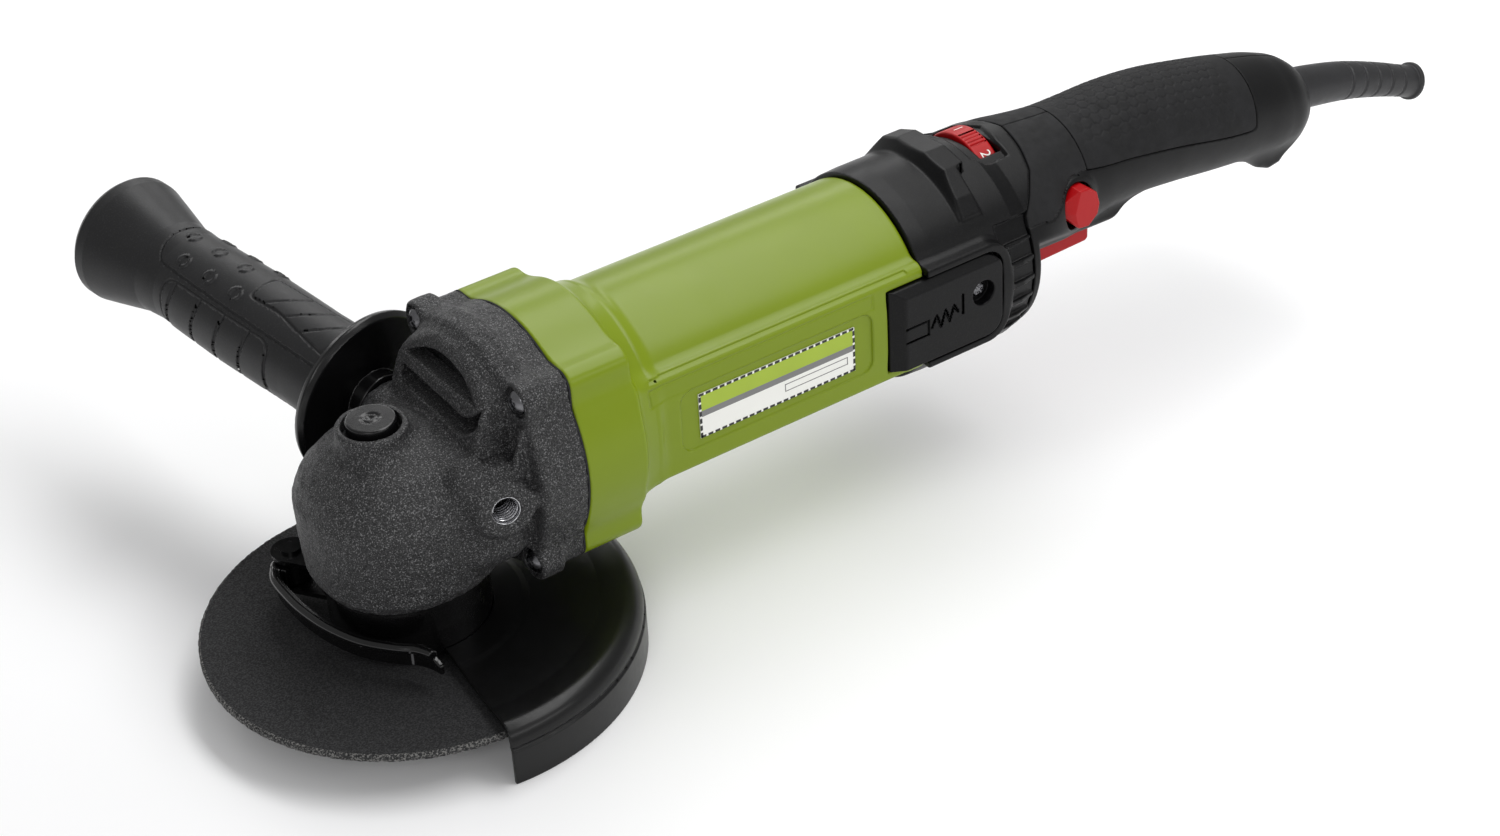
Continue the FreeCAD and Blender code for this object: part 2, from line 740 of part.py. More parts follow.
def build_clamp():
    low, high, sheet_metal = 14.6, 24.4, 1.5
    angle = math.degrees(math.atan2(number(d.pivot_y), number(d.pivot_x)))
    web = cut(cylinder(d.band_outer + 2.0, high - low, (0, 0, low), sweep=24, start=angle - 12),
              cylinder(d.band_outer + 0.02, 20, (0, 0, low - 1)))
    bracket = cut(fuse(lug_plate(low, sheet_metal), lug_plate(high, sheet_metal), web),
                  cylinder(d.pivot_radius, 20, (d.pivot_x, d.pivot_y, low - 2)))
    piece("clamp_bracket", bracket)
    pin_length = high + sheet_metal - low
    piece("clamp_pin", fuse(cylinder(d.pivot_radius, pin_length, (d.pivot_x, d.pivot_y, low)),
                            cylinder(3.2, 1.1, (d.pivot_x, d.pivot_y, low - 1.1)),
                            cylinder(3.2, 1.1, (d.pivot_x, d.pivot_y, high + sheet_metal))))
    lever_base, lever_height = low + sheet_metal + 0.4, high - low - sheet_metal - 0.8
    inner, outer = 27.0, 29.2
    sweep_start, sweep = 132.0, 112.0
    strap = cut(cylinder(outer, lever_height, (0, 0, lever_base), sweep=sweep, start=sweep_start),
                cylinder(inner, lever_height + 2, (0, 0, lever_base - 1)))
    eye = cylinder(5.2, lever_height, (d.pivot_x, d.pivot_y, lever_base))
    x, y = polar((inner + outer) / 2, sweep_start + 4)
    run = V(x, y, 0) - V(number(d.pivot_x), number(d.pivot_y), 0)
    link = box((0, -1.4, 0), (run.Length + 1.0, 1.4, lever_height))
    turn = FreeCAD.Rotation(V(0, 0, 1), math.degrees(math.atan2(run.y, run.x)))
    start = V(number(d.pivot_x), number(d.pivot_y), lever_base) + turn.multVec(V(0, -1.4, 0))
    link.Placement = FreeCAD.Placement(start, turn)
    x, y = polar(inner + 0.4, sweep_start + sweep - 2)
    tab_turn = FreeCAD.Rotation(V(0, 0, 1), sweep_start + sweep + 72)
    tab = box((0, -0.4, 0), (9.0, 1.8, lever_height))
    tab.Placement = FreeCAD.Placement(V(x, y, lever_base), tab_turn)
    lever = cut(fuse(strap, eye, link, tab),
                cylinder(d.pivot_radius + d.running_gap, 20, (d.pivot_x, d.pivot_y, low - 2)))
    piece("clamp_lever", lever)


# ---------------------------------------------------------------- motor

motor_front = d.flange_back + d.gasket


def on_motor(body, x=0):
    """Lift a piece turned about X to the motor's axis."""
    return place(group(body), (x, 0, d.motor_height))


def build_front_bearing():
    seat = 13.0
    front, back = 27.0, 35.0
    bearing("front_bearing", d.shaft_radius + d.running_gap, seat, back - front,
            (front + 2.0, 0, d.motor_height), "X")
    blank = turned("bearing_plate_blank", [
        (29.0, seat), (29.0, 26.0), (d.flange_back, 26.0), (d.flange_back, 22.0),
        (39.5, 22.0), (39.5, 8.0), (37.0, 8.0), (37.0, seat)], axis="X")
    piece("bearing_plate", on_motor(blank))


def turned_on_motor(obj, degrees):
    """Turn an object drawn about the X axis, and lift it to the motor's axis."""
    lift = FreeCAD.Placement(V(0, 0, number(d.motor_height)), turned_about("X", degrees))
    obj.Placement = lift.multiply(obj.Placement)
    return obj


def winding_bars(length):
    """The twelve bars of the winding, which fill the core's slots."""
    return [cylinder(2.4, length, (d.core_front, y, d.motor_height + z), "X")
            for y, z in (polar(16.4, angle) for angle in range(0, 360, 30))]


def build_armature():
    shaft = turned("armature_shaft_blank", [
        (9.6, 0), (9.6, d.shaft_nose - 0.4), (10.0, d.shaft_nose), (27.0, d.shaft_nose),
        (27.0, d.shaft_radius), (37.0, d.shaft_radius), (37.0, 6.0), (d.core_back + 12, 6.0),
        (d.core_back + 12, 5.0), (182.0, 5.0), (182.0, d.journal_radius), (192.0, d.journal_radius),
        (192.0, 0)], axis="X")
    piece("armature_shaft", on_motor(shaft))

    length = d.core_back - d.core_front
    stack = cylinder(d.core_radius, length, (d.core_front, 0, d.motor_height), "X")
    slots = winding_bars(length)
    bore = cylinder(6.0, length, (d.core_front, 0, d.motor_height), "X")
    piece("armature_core", cut(stack, bore, *slots))

    front_head = turned("winding_front", [
        (82.0, 6.0), (82.0, 12.0), (84.5, 17.5), (90.0, 18.6), (d.core_front, 18.6),
        (d.core_front, 6.0)], axis="X")
    back_head = turned("winding_back", [
        (d.core_back, 6.0), (d.core_back, 18.6), (152.0, 18.0), (157.0, 13.0), (160.0, 12.4),
        (160.0, 6.0)], axis="X")
    piece("armature_windings", fuse(on_motor(front_head), on_motor(back_head), *winding_bars(length)))

    body = cut(cylinder(d.commutator_radius, 18.0, (160.0, 0, d.motor_height), "X"),
               cylinder(5.0, 20.0, (159.0, 0, d.motor_height), "X"))
    rim = number(d.commutator_radius)
    slots = [turned_on_motor(box((163.0, -0.3, rim - 1.0), (179.0, 0.3, rim + 1.0)), angle)
             for angle in range(0, 360, 15)]
    piece("commutator", cut(body, *slots))


def build_fan():
    front, back = 44.5, 56.2
    hub = cylinder(12.0, back - front, (front, 0, d.motor_height), "X")
    wheel = cylinder(d.fan_radius, 1.6, (back - 1.6, 0, d.motor_height), "X")
    blades = [turned_on_motor(box((front + 1.0, -0.7, 11.0), (back - 1.0, 0.7, number(d.fan_radius))),
                              22.5 * i) for i in range(16)]
    fan = cut(fuse(hub, wheel, *blades), cylinder(6.0, 30, (40, 0, d.motor_height), "X"))
    piece("cooling_fan", fan)
    baffle = turned("baffle", [
        (57.4, 21.5), (57.4, 33.0), (59.0, 33.0), (59.0, 28.9), (74.0, 28.6),
        (74.0, 27.0), (59.6, 27.0), (59.0, 21.5)], axis="X")
    piece("baffle_plate", on_motor(baffle))


def build_stator():
    front, back = d.core_front - 2, d.core_back + 2
    length = back - front
    zc = d.motor_height
    yoke = common(cylinder(d.stator_radius, length, (front, 0, zc), "X"),
                  box((front, -26.5, zc - 40), (back, 26.5, zc + 40)))
    bore = cylinder(d.core_radius + 0.6, length, (front, 0, zc), "X")
    pockets = []
    for side in (-1, 1):
        low, high = sorted((side * 12.0, side * 23.0))
        pockets.append(box((front, low, zc - 14.0), (back, high, zc + 14.0)))
    screw_lines = [(side * 18.4, zc + side * 18.4) for side in (-1, 1)]
    screw_ways = [cylinder(2.1, length, (front, y, z), "X") for y, z in screw_lines]
    piece("stator_core", cut(yoke, bore, *pockets, *screw_ways))
    coils = []
    for rise in (-1, 1):
        low, high = sorted((rise * 4.0, rise * 13.4))
        far_low, far_high = sorted((rise * 4.0, rise * 26.0))
        ring = cut(cylinder(22.9, length + 16, (front - 8, 0, zc), "X"),
                   cylinder(d.core_radius + 0.9, length + 20, (front - 10, 0, zc), "X"))
        sides = box((front - 8, -22.6, zc + low), (back + 8, 22.6, zc + high))
        turns = [box((x, -26, zc + far_low), (x + 7.5, 26, zc + far_high)) for x in (front - 8, back + 0.5)]
        coils.append(common(ring, fuse(sides, *turns)))
    piece("field_coils", group(*coils))
    screws = [fuse(cylinder(2.0, length + 6, (front - 6, y, z), "X"), cylinder(2.9, 3.0, (back, y, z), "X"))
              for y, z in screw_lines]
    piece("stator_screws", group(*screws))


def build_motor_housing():
    zc = d.motor_height
    bell = bell_body(motor_front, d.bell_back)
    shoulder = cone(d.flange_round - 1.5, d.barrel_radius, 6.0, (d.bell_back, 0, zc), "X")
    barrel = common(cylinder(d.barrel_radius, d.barrel_back - d.bell_back, (d.bell_back, 0, zc), "X"),
                    box((d.bell_back, -d.panel_half, zc - 40), (d.barrel_back, d.panel_half, zc + 40)))
    panel = box((d.bell_back, -d.panel_half, zc - d.panel_height),
                (d.barrel_back, d.panel_half, zc + d.panel_height))
    panel = fillet(panel, 3.0, along("X"))
    outside = fuse(bell, shoulder, barrel, panel)
    bell_space = bell_body(motor_front, d.bell_back - 2.5, d.wall)
    barrel_space = cylinder(d.barrel_radius - d.wall, 120.0, (d.bell_back - 3, 0, zc), "X")
    bell_length = d.bell_back - motor_front
    corner_lugs = [cylinder(5.2, bell_length, (motor_front, y, z), "X") for y, z in screw_places()]
    screw_ways = [cylinder(2.5, 18.0, (motor_front, y, z), "X") for y, z in screw_places()]
    brush_windows = [box((154.0, -40, zc - 10.0), (194.0, 40, zc + 10.0))]
    for side in (-1, 1):
        low, high = sorted((side * 29.9, side * 40.0))
        brush_windows.append(box((152.2, low, zc - 14.3), (170.0, high, zc + 14.3)))
    label_seat = box((83.0, -d.panel_half - 1, 51.7), (141.0, -d.panel_half + 0.45, 68.4))
    hollow = cut(fuse(bell_space, barrel_space), *corner_lugs)
    piece("motor_housing", cut(outside, hollow, label_seat, *brush_windows, *screw_ways))
    piece("rating_plate", box((84.0, -d.panel_half + 0.05, 52.5), (140.0, -d.panel_half + 0.45, 67.6)))


# ---------------------------------------------------------------- rear housing and brushes

def dial_centre():
    lean = math.radians(12.0)
    y = math.sin(lean) * d.dial_offset
    z = d.motor_height + math.cos(lean) * d.dial_offset
    return y, z


def build_rear_housing():
    zc = d.motor_height
    outside = turned("rear_outside", [
        (d.barrel_back, 0), (d.barrel_back, d.rear_radius - 0.4), (172.0, d.rear_radius),
        (203.0, d.rear_radius), (d.rear_back, d.rear_radius - 1.3), (d.rear_back, 0)], axis="X")
    hood = common(cylinder(d.rear_radius - 1.3, 14.5, (d.rear_back, 0, zc), "X"),
                  box((d.rear_back, -22, 80.0), (d.rear_back + 14.5, 26, 100)))
    frames = box((d.barrel_back, -33.0, zc - 17.0), (198.0, 33.0, zc + 17.0))
    frames = fillet(frames, 4.0, along("X"))
    ridge = box((188.0, -16.0, zc + 20), (203.5, 7.0, zc + 35.6))
    body = fuse(on_motor(outside), hood, frames, ridge)
    space = cylinder(d.rear_radius - 0.4 - d.shell, 60.0, (d.barrel_back - 1, 0, zc), "X")
    seat_ring = cut(cylinder(17.0, 10.0, (182.5, 0, zc), "X"), cylinder(13.0, 12.0, (182.0, 0, zc), "X"))
    spokes = [turned_on_motor(box((182.5, -1.5, 16.0), (190.5, 1.5, 32.0)), angle)
              for angle in range(0, 360, 60)]
    y, z = dial_centre()
    slot = cylinder(d.dial_radius + 0.5, d.dial_width + 0.8, (d.dial_front - 0.4, y, z), "X")
    wells = [box((163.0, side * 32.0 - 2.6, zc - 14.3), (194.4, side * 32.0 + 2.6, zc + 14.3))
             for side in (-1, 1)]
    notches = [turned_on_motor(box((197.0, -1.3, 28.0), (206.0, 1.3, 36.0)), 55.0 + 13.0 * i + side)
               for side in (0, 180) for i in range(6)]
    hollow = cut(space, seat_ring, *spokes)
    through = box((150.0, -40, zc - 10.0), (181.0, 40, zc + 10.0))
    piece("rear_housing", cut(body, hollow, slot, *wells, through, *notches))


def build_rear_bearing():
    bearing("rear_bearing", d.journal_radius + d.running_gap, d.rear_bearing_radius, 7.0,
            (d.rear_bearing_front, 0, d.motor_height), "X")
    bush = turned("bush_blank", [
        (182.6, 7.0), (182.6, 13.0), (192.4, 13.0), (192.4, d.rear_bearing_radius),
        (d.rear_bearing_front, d.rear_bearing_radius), (d.rear_bearing_front, 7.0)], axis="X")
    piece("bearing_bush", on_motor(bush))


def build_brushes():
    zc = d.motor_height
    holders, carbons, springs, caps, screws = [], [], [], [], []
    for side in (-1, 1):
        low, high = sorted((side * 14.0, side * 27.5))
        tube = cut(box((165.0, low, zc - 5.2), (176.0, high, zc + 5.2)),
                   box((166.0, low - 1, zc - 4.2), (175.0, high + 1, zc + 4.2)))
        low, high = sorted((side * 22.0, side * 24.0))
        ears = cut(box((165.0, low, zc - 9.6), (176.0, high, zc + 9.6)),
                   box((165.0, low - 1, zc - 5.2), (176.0, high + 1, zc + 5.2)))
        holders.append(fuse(tube, ears))
        low, high = sorted((side * 12.15, side * 21.5))
        carbons.append(box((166.1, low, zc - 4.1), (174.9, high, zc + 4.1)))
        springs.append(coil_spring(3.0, 0.35, 5, 5.0, (170.5, side * 21.9, zc), V(0, side, 0)))
        low, high = sorted((side * 30.0, side * 34.3))
        cover = box((152.5, low, zc - 14.0), (194.0, high, zc + 14.0))
        cover = fillet(cover, 5.0, lambda e: along("Y")(e) and e.BoundBox.XMin > 190)
        seat = cylinder(3.4, 2.6, (186.6, side * 31.9, zc + 2.0), V(0, side, 0))
        way = cylinder(1.7, 8.0, (186.6, side * 28.0, zc + 2.0), V(0, side, 0))
        caps.append(cut(cover, seat, way))
        screws.append(fuse(cylinder(1.6, 8.0, (186.6, side * 23.9, zc + 2.0), V(0, side, 0)),
                           cylinder(3.1, 1.9, (186.6, side * 31.9, zc + 2.0), V(0, side, 0))))
    piece("brush_holders", group(*holders))
    piece("carbon_brushes", group(*carbons))
    piece("brush_springs", group(*springs))
    piece("brush_cover_left", caps[0])
    piece("brush_cover_right", caps[1])
    piece("brush_cover_screws", group(*screws))


def build_dial():
    y, z = dial_centre()
    wheel = cylinder(d.dial_radius, d.dial_width, (d.dial_front, y, z), "X")
    recess = cylinder(d.dial_radius - 4, 3.0, (d.dial_front + d.dial_width - 3, y, z), "X")
    grips = []
    for i in range(30):
        a, b = polar(number(d.dial_radius), 12.0 * i)
        grips.append(cylinder(0.5, number(d.dial_width) + 2, (d.dial_front - 1, y + a, z + b), "X"))
    pivot = cylinder(2.0, 10.0, (d.dial_front + d.dial_width - 3, y, z), "X")
    piece("speed_dial", fuse(cut(wheel, recess, *grips), pivot))
    board = cut(box((219.2, -17.0, 62.0), (220.8, 17.0, 86.0)),
                cylinder(2.3, 6, (217.0, y, z), "X"))
    piece("speed_board", board)


# ---------------------------------------------------------------- rear handle

HANDLE_STATIONS = [
    (208.3, 60.5, 32.4), (214.0, 61.2, 31.8), (222.0, 63.8, 29.2), (230.0, 67.2, 25.8), (240.0, 71.2, 22.4),
    (252.0, 73.0, 21.0), (266.0, 73.0, 20.0), (285.0, 70.8, 19.6), (300.0, 68.4, 19.2), (318.0, 65.4, 18.2),
    (332.0, 62.8, 16.8), (340.0, 61.4, 14.6), (345.5, 60.8, 10.6)]
HANDLE_SCREWS = ((272.0, 60.0), (312.0, 56.5), (331.0, 46.5))
TRIGGER_PIVOT = (231.6, 49.0)
BUTTON_PLACE = (232.4, 70.8)


def belly(name, front, back, thickness):
    """The room under the neck's flat-bottomed underside, to be cut away, raised by a wall thickness."""
    flat, low, side, high, far = 4.2, 46.7, 44.2, 78.6, 20.0
    rise = thickness * 1.28
    return plate(name, "X", [
        (-side, high + rise), (-flat, low + thickness), (flat, low + thickness), (side, high + rise),
        (side, far), (-side, far)], back - front, front)


def across_handle(radius, low, high, place_xz):
    """A cylinder across the handle, from one side of it to the other."""
    return cylinder(radius, high - low, (place_xz[0], low, place_xz[1]), V(0, 1, 0))


def build_handle():
    chin = plate("chin", "X", [(-11.0, 62.0), (-11.0, 52.2), (-4.2, 46.7), (4.2, 46.7), (11.0, 52.2),
                               (11.0, 62.0)], 30.0, 226.0)
    solid = fuse(cut(lofted(HANDLE_STATIONS), belly("underside", 211.5, 256.0, 0.0)), chin)
    hook = plate("hook", "Y", [(314.0, 60), (318.0, 51.0), (326.0, 42.4), (330.5, 40.2), (335.0, 40.8),
                               (343.4, 50.0), (345.0, 60.0), (332.0, 64.0)], 17.0, symmetric=True)
    space = cut(lofted(HANDLE_STATIONS, d.shell), belly("floor", 200.0, 258.0, number(d.shell)))
    hood_room = box((200.0, -22.4, 79.6), (223.0, 26.4, 110))
    trigger_room = box((226.9, -4.6, 30.0), (255.4, 4.6, 60.0))
    pivot_ways = across_handle(1.5, -6.0, 6.0, TRIGGER_PIVOT)
    button_room = across_handle(7.3, -30.0, -10.0, BUTTON_PLACE)
    sleeve_room = cylinder(7.7, 16.0, (334.0, 0, 62.9), V(0.987, 0, -0.160))
    grip_window = box((242.0, -40, 66.0), (314.0, 40, 120))
    grip = cut(common(lofted(HANDLE_STATIONS), grip_window), lofted(HANDLE_STATIONS, d.grip_depth))
    piece("soft_grip", grip)
    grip_room = cut(common(lofted(HANDLE_STATIONS, -0.2), grip_window), lofted(HANDLE_STATIONS, d.grip_depth))
    walls = cut(fuse(solid, hook), space, hood_room, trigger_room, pivot_ways, button_room, sleeve_room,
                grip_room)
    bosses = common(fuse(*[across_handle(3.6, -12.0, 12.0, at) for at in HANDLE_SCREWS]),
                    lofted(HANDLE_STATIONS, 0.5))
    ways = [across_handle(1.5, -20.0, 20.0, at) for at in HANDLE_SCREWS]
    seats = [across_handle(3.0, 10.0, 30.0, at) for at in HANDLE_SCREWS]
    whole = cut(fuse(walls, bosses), *ways, *seats)
    piece("handle_left", common(whole, box((200, -60, 0), (400, 0, 120))))
    piece("handle_right", common(whole, box((200, 0, 0), (400, 60, 120))))
    screws = [fuse(across_handle(1.5, -8.0, 10.0, at), across_handle(2.8, 10.0, 12.0, at))
              for at in HANDLE_SCREWS]
    piece("handle_screws", group(*screws))


def build_switch():
    piece("switch_body", fuse(box((232.5, -8.5, 62.0), (266.0, 8.5, 82.0)),
                              box((240.0, -3.0, 51.6), (246.0, 3.0, 62.0))))
    outline = [(227.6, 46.0), (228.0, 40.2), (253.6, 41.0), (254.6, 42.0), (254.6, 46.0),
               (248.0, 48.2), (238.5, 50.2), (236.0, 52.0), (228.6, 52.0)]
    lever = plate("trigger_blank", "Y", outline, 8.4, symmetric=True)
    piece("trigger", cut(lever, across_handle(d.running_gap + 1.5, -6.0, 6.0, TRIGGER_PIVOT)))
    piece("trigger_pin", across_handle(1.5, -6.0, 6.0, TRIGGER_PIVOT))
    piece("trigger_spring", coil_spring(2.2, 0.3, 6, 13.0, (250.5, 0, 48.6)))
    cap = turned("button_cap", [(0, 0), (6.9, 0), (6.9, 4.2), (5.4, 6.2), (0, 6.4)])
    skirt = -20.8
    piece("lock_on_button", fuse(
        place(group(cap), (BUTTON_PLACE[0], skirt, BUTTON_PLACE[1]), toward(V(0, -1, 0))),
        across_handle(2.5, skirt, skirt + 7.0, BUTTON_PLACE)))


# the strain relief's centre line, as (x, height, lean, radius)
SLEEVE_LEAN = -18.5
SLEEVE_STATIONS = ((338.0, 62.9, -8.0, 7.4), (354.0, 60.4, -10.5, 7.1), (372.0, 56.2, -14.5, 6.6),
                   (388.4, 50.6, -18.5, 6.1), (404.2, 45.1, -18.5, 5.6))


def sleeve_loft(name, rings):
    """A smooth body along the sleeve, through circles given as (x, height, lean, radius)."""
    sections = []
    for x, height, lean, radius in rings:
        ring = doc.addObject("Part::Circle", "Station")
        ring.Radius = radius
        out = V(math.cos(math.radians(lean)), 0, math.sin(math.radians(lean)))
        sections.append(place(ring, (x, 0, height), toward(out)))
    loft = doc.addObject("Part::Loft", name)
    loft.Sections = sections
    loft.Solid = True
    loft.Ruled = False
    return loft


def build_cord_entry():
    lean = math.radians(SLEEVE_LEAN)
    out = V(math.cos(lean), 0, math.sin(lean))
    mouth = V(404.2, 0, 45.1)
    way_radius = 4.4
    cord_way = [(x, height, turn, way_radius) for x, height, turn, _ in SLEEVE_STATIONS[:4]]
    ring = cylinder(6.5, 2.0, mouth - out * 1.4, out)
    bore = cylinder(d.sleeve_bore, 16.0, mouth - out * 14.4, out)
    sleeve = cut(fuse(sleeve_loft("Sleeve", SLEEVE_STATIONS), ring), bore, sleeve_loft("CordWay", cord_way))
    piece("strain_relief", sleeve)
    clamp = cut(box((318.0, -8.0, 61.5), (326.0, 8.0, 66.0)), cylinder(4.2, 20.0, (312.0, 0, 68.4), "X"))
    piece("cord_clamp", clamp)


# ---------------------------------------------------------------- side handle

def build_side_handle():
    grip = turned("side_handle_blank", [
        (0, 18.0), (d.stud_radius, 18.0), (d.stud_radius, 0.4), (9.5, 0.4), (9.5, 5.0),
        (d.disc_guard_radius - 1.5, 5.8), (d.disc_guard_radius, 7.4), (d.disc_guard_radius - 0.8, 9.4),
        (16.5, 10.4), (15.2, 12.5), (14.6, 30.0), (14.8, 60.0), (14.0, 88.0), (15.0, 96.0), (18.6, 108.0),
        (20.4, 115.0), (20.4, 118.6), (18.4, 121.2), (0, 122.0)])
    piece("side_handle_grip", place(group(grip), side_seat(1), toward(side_axis(1))))
    stud = cylinder(d.stud_radius, 28.0, side_seat(1) - side_axis(1) * 10, side_axis(1))
    piece("side_handle_stud", stud)


# ---------------------------------------------------------------- assembly and export

build_spindle()
build_wheel_mounting()
build_head_bearings()
build_gears()
build_gear_head()
build_head_fasteners()
build_spindle_lock()
build_guard()
build_clamp()
build_front_bearing()
build_armature()
build_fan()
build_stator()
build_motor_housing()
build_rear_housing()
build_rear_bearing()
build_brushes()
build_dial()
build_handle()
build_switch()
build_cord_entry()
build_side_handle()
doc.recompute()

failed = [obj.Label for obj in doc.Objects if {"Invalid", "Error"} & set(obj.State)]
if failed:
    raise RuntimeError("these objects failed: " + ", ".join(failed))
for name, obj in pieces:
    if obj.Shape.isNull() or not obj.Shape.isValid() or not obj.Shape.Solids:
        raise RuntimeError(name + " has no valid solid")

os.makedirs("parts", exist_ok=True)
for name, obj in pieces:
    obj.Shape.exportStep("parts/%s.step" % name)
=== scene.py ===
"""The angle grinder's looks: moulded shells, cast head, guard and grips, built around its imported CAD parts.

Shapes are signed distance fields in the part's own frame, in millimetres, negative inside. mesh_of() turns a
field into a closed mesh whose points lie on its surface, and piece() makes the Blender object, in metres.
"""

import json
import math

import bpy
import numpy as np
from mathutils import Matrix, Vector


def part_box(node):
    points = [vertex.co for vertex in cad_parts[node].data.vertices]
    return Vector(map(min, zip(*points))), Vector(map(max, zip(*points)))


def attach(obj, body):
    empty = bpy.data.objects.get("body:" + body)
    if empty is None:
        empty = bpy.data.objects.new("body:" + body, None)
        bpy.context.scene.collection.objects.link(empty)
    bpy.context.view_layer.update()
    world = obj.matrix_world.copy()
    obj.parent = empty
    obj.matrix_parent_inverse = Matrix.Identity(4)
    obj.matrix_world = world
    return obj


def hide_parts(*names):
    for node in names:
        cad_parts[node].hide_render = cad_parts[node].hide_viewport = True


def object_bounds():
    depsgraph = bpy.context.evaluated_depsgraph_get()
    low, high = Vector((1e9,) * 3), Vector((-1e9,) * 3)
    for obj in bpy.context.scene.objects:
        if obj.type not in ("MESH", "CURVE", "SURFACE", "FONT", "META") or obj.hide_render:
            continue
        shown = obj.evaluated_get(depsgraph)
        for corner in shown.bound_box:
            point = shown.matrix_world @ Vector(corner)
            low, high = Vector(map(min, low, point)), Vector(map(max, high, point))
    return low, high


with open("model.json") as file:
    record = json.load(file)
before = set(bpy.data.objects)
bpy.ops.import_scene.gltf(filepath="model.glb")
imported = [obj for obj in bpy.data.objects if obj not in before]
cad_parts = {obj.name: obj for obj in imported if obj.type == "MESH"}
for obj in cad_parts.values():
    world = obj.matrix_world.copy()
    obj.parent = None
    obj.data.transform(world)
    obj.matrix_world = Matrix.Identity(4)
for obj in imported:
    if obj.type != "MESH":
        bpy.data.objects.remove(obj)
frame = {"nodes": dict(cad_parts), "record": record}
cad_low, cad_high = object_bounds()

MM = 0.001
COARSER = 1.0
FAR = 200.0


def span(node):
    """A CAD node's lowest and highest corner, in millimetres."""
    low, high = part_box(node)
    return np.array(low) / MM, np.array(high) / MM


def middle(node):
    low, high = span(node)
    return (low + high) / 2


MOTOR_Z = middle("armature_shaft")[2]
HEAD_LOW, HEAD_HIGH = span("gear_housing")
BELL_LOW, BELL_HIGH = span("motor_housing")
REAR_FRONT = span("rear_housing")[0][0]
FLANGE_ROUND = (BELL_HIGH[2] - BELL_LOW[2]) / 2
FLANGE_SQUARE = 31.5  # half the joint face's flat-to-flat width
BARREL_RADIUS = 32.2
PANEL_HALF = 31.0  # from the motor axis to each flank panel
PANEL_HEIGHT = 18.5  # half a flank panel's height
BELL_BACK = BELL_LOW[0] + 20.0
HEAD_BASE = 27.5  # where the gearbox screws' heads sit, along X
SCREW_REACH = 27.3  # from the motor axis to each gearbox screw, along Y and Z
SIDE_SEAT = (16.5, 34.0, 59.4)  # where the side handle meets its boss
SIDE_LEAN = (-0.216, 1.0, 0.121)  # the way in which it points


# ---------------------------------------------------------------- distance fields

def joined(blend, first, *others):
    """Both shapes, with a fillet about as wide as blend where they meet."""
    for other in others:
        least = np.minimum(first, other)
        if blend > 0:
            near = np.maximum(blend - np.abs(first - other), 0.0) / blend
            least = least - near * near * blend * 0.25
        first = least
    return first


def shared(blend, first, *others):
    """What all the shapes have in common, with its edges rounded."""
    return -joined(blend, -first, *[-other for other in others])


def without(blend, body, *tools):
    return shared(blend, body, *[-tool for tool in tools])


def inset(points, amount):
    """A closed outline moved inwards, so that a field grown by the same amount has round corners."""
    points = np.array(points, float)
    ahead = np.roll(points, -1, axis=0) - points
    ahead /= np.linalg.norm(ahead, axis=1)[:, None]
    area = np.sum(points[:, 0] * np.roll(points[:, 1], -1) - points[:, 1] * np.roll(points[:, 0], -1))
    inward = np.stack([-ahead[:, 1], ahead[:, 0]], 1) * math.copysign(1.0, area)
    before = np.roll(inward, 1, axis=0)
    corner = inward + before
    return points + corner * (amount * 2 / np.sum(corner * corner, 1))[:, None]


def outline(u, v, points, rounding=0.0):
    """Distance to a closed outline."""
    points = inset(points, rounding) if rounding else np.array(points, float)
    best = np.full(u.shape, np.inf)
    outside = np.ones(u.shape)
    for (au, av), (bu, bv) in zip(points, np.roll(points, -1, axis=0)):
        eu, ev = bu - au, bv - av
        wu, wv = u - au, v - av
        along = np.clip((wu * eu + wv * ev) / (eu * eu + ev * ev), 0.0, 1.0)
        best = np.minimum(best, (wu - along * eu) ** 2 + (wv - along * ev) ** 2)
        above, below, left = v >= av, v < bv, eu * wv > ev * wu
        outside = np.where((above & below & left) | ~(above | below | left), -outside, outside)
    return outside * np.sqrt(best) - rounding


def rectangle(u, v, half_u, half_v, rounding=0.0):
    du, dv = np.abs(u) - half_u + rounding, np.abs(v) - half_v + rounding
    corner = np.sqrt(np.maximum(du, 0) ** 2 + np.maximum(dv, 0) ** 2)
    return corner + np.minimum(np.maximum(du, dv), 0) - rounding


def between(w, low, high):
    return np.abs(w - (low + high) / 2) - (high - low) / 2


def block(p, low, high, rounding=0.0):
    low, high = np.array(low, float), np.array(high, float)
    q = np.abs(p - (low + high) / 2) - (high - low) / 2 + rounding
    return np.linalg.norm(np.maximum(q, 0), axis=1) + np.minimum(q.max(1), 0) - rounding


def about(p, base, axis):
    """Height along an axis from its base, and distance from it."""
    axis = np.array(axis, float) / np.linalg.norm(axis)
    q = p - np.array(base, float)
    height = q @ axis
    return height, np.linalg.norm(q - height[:, None] * axis, axis=1)


def rod(p, base, axis, low, high, radius, rounding=0.0):
    height, away = about(p, base, axis)
    return rectangle(away, height - (low + high) / 2, radius, (high - low) / 2, rounding)


def turned(p, base, axis, profile, rounding=0.0):
    """A profile of (height, radius) points turned about an axis."""
    height, away = about(p, base, axis)
    closed = list(profile) + [(profile[-1][0], -FAR), (profile[0][0], -FAR)]
    return outline(height, away, closed, rounding)


def groove(across, width, depth):
    """How much a round-bottomed groove lowers a surface, at a distance across it."""
    return depth * np.clip(1 - (across / (width / 2)) ** 2, 0, 1)


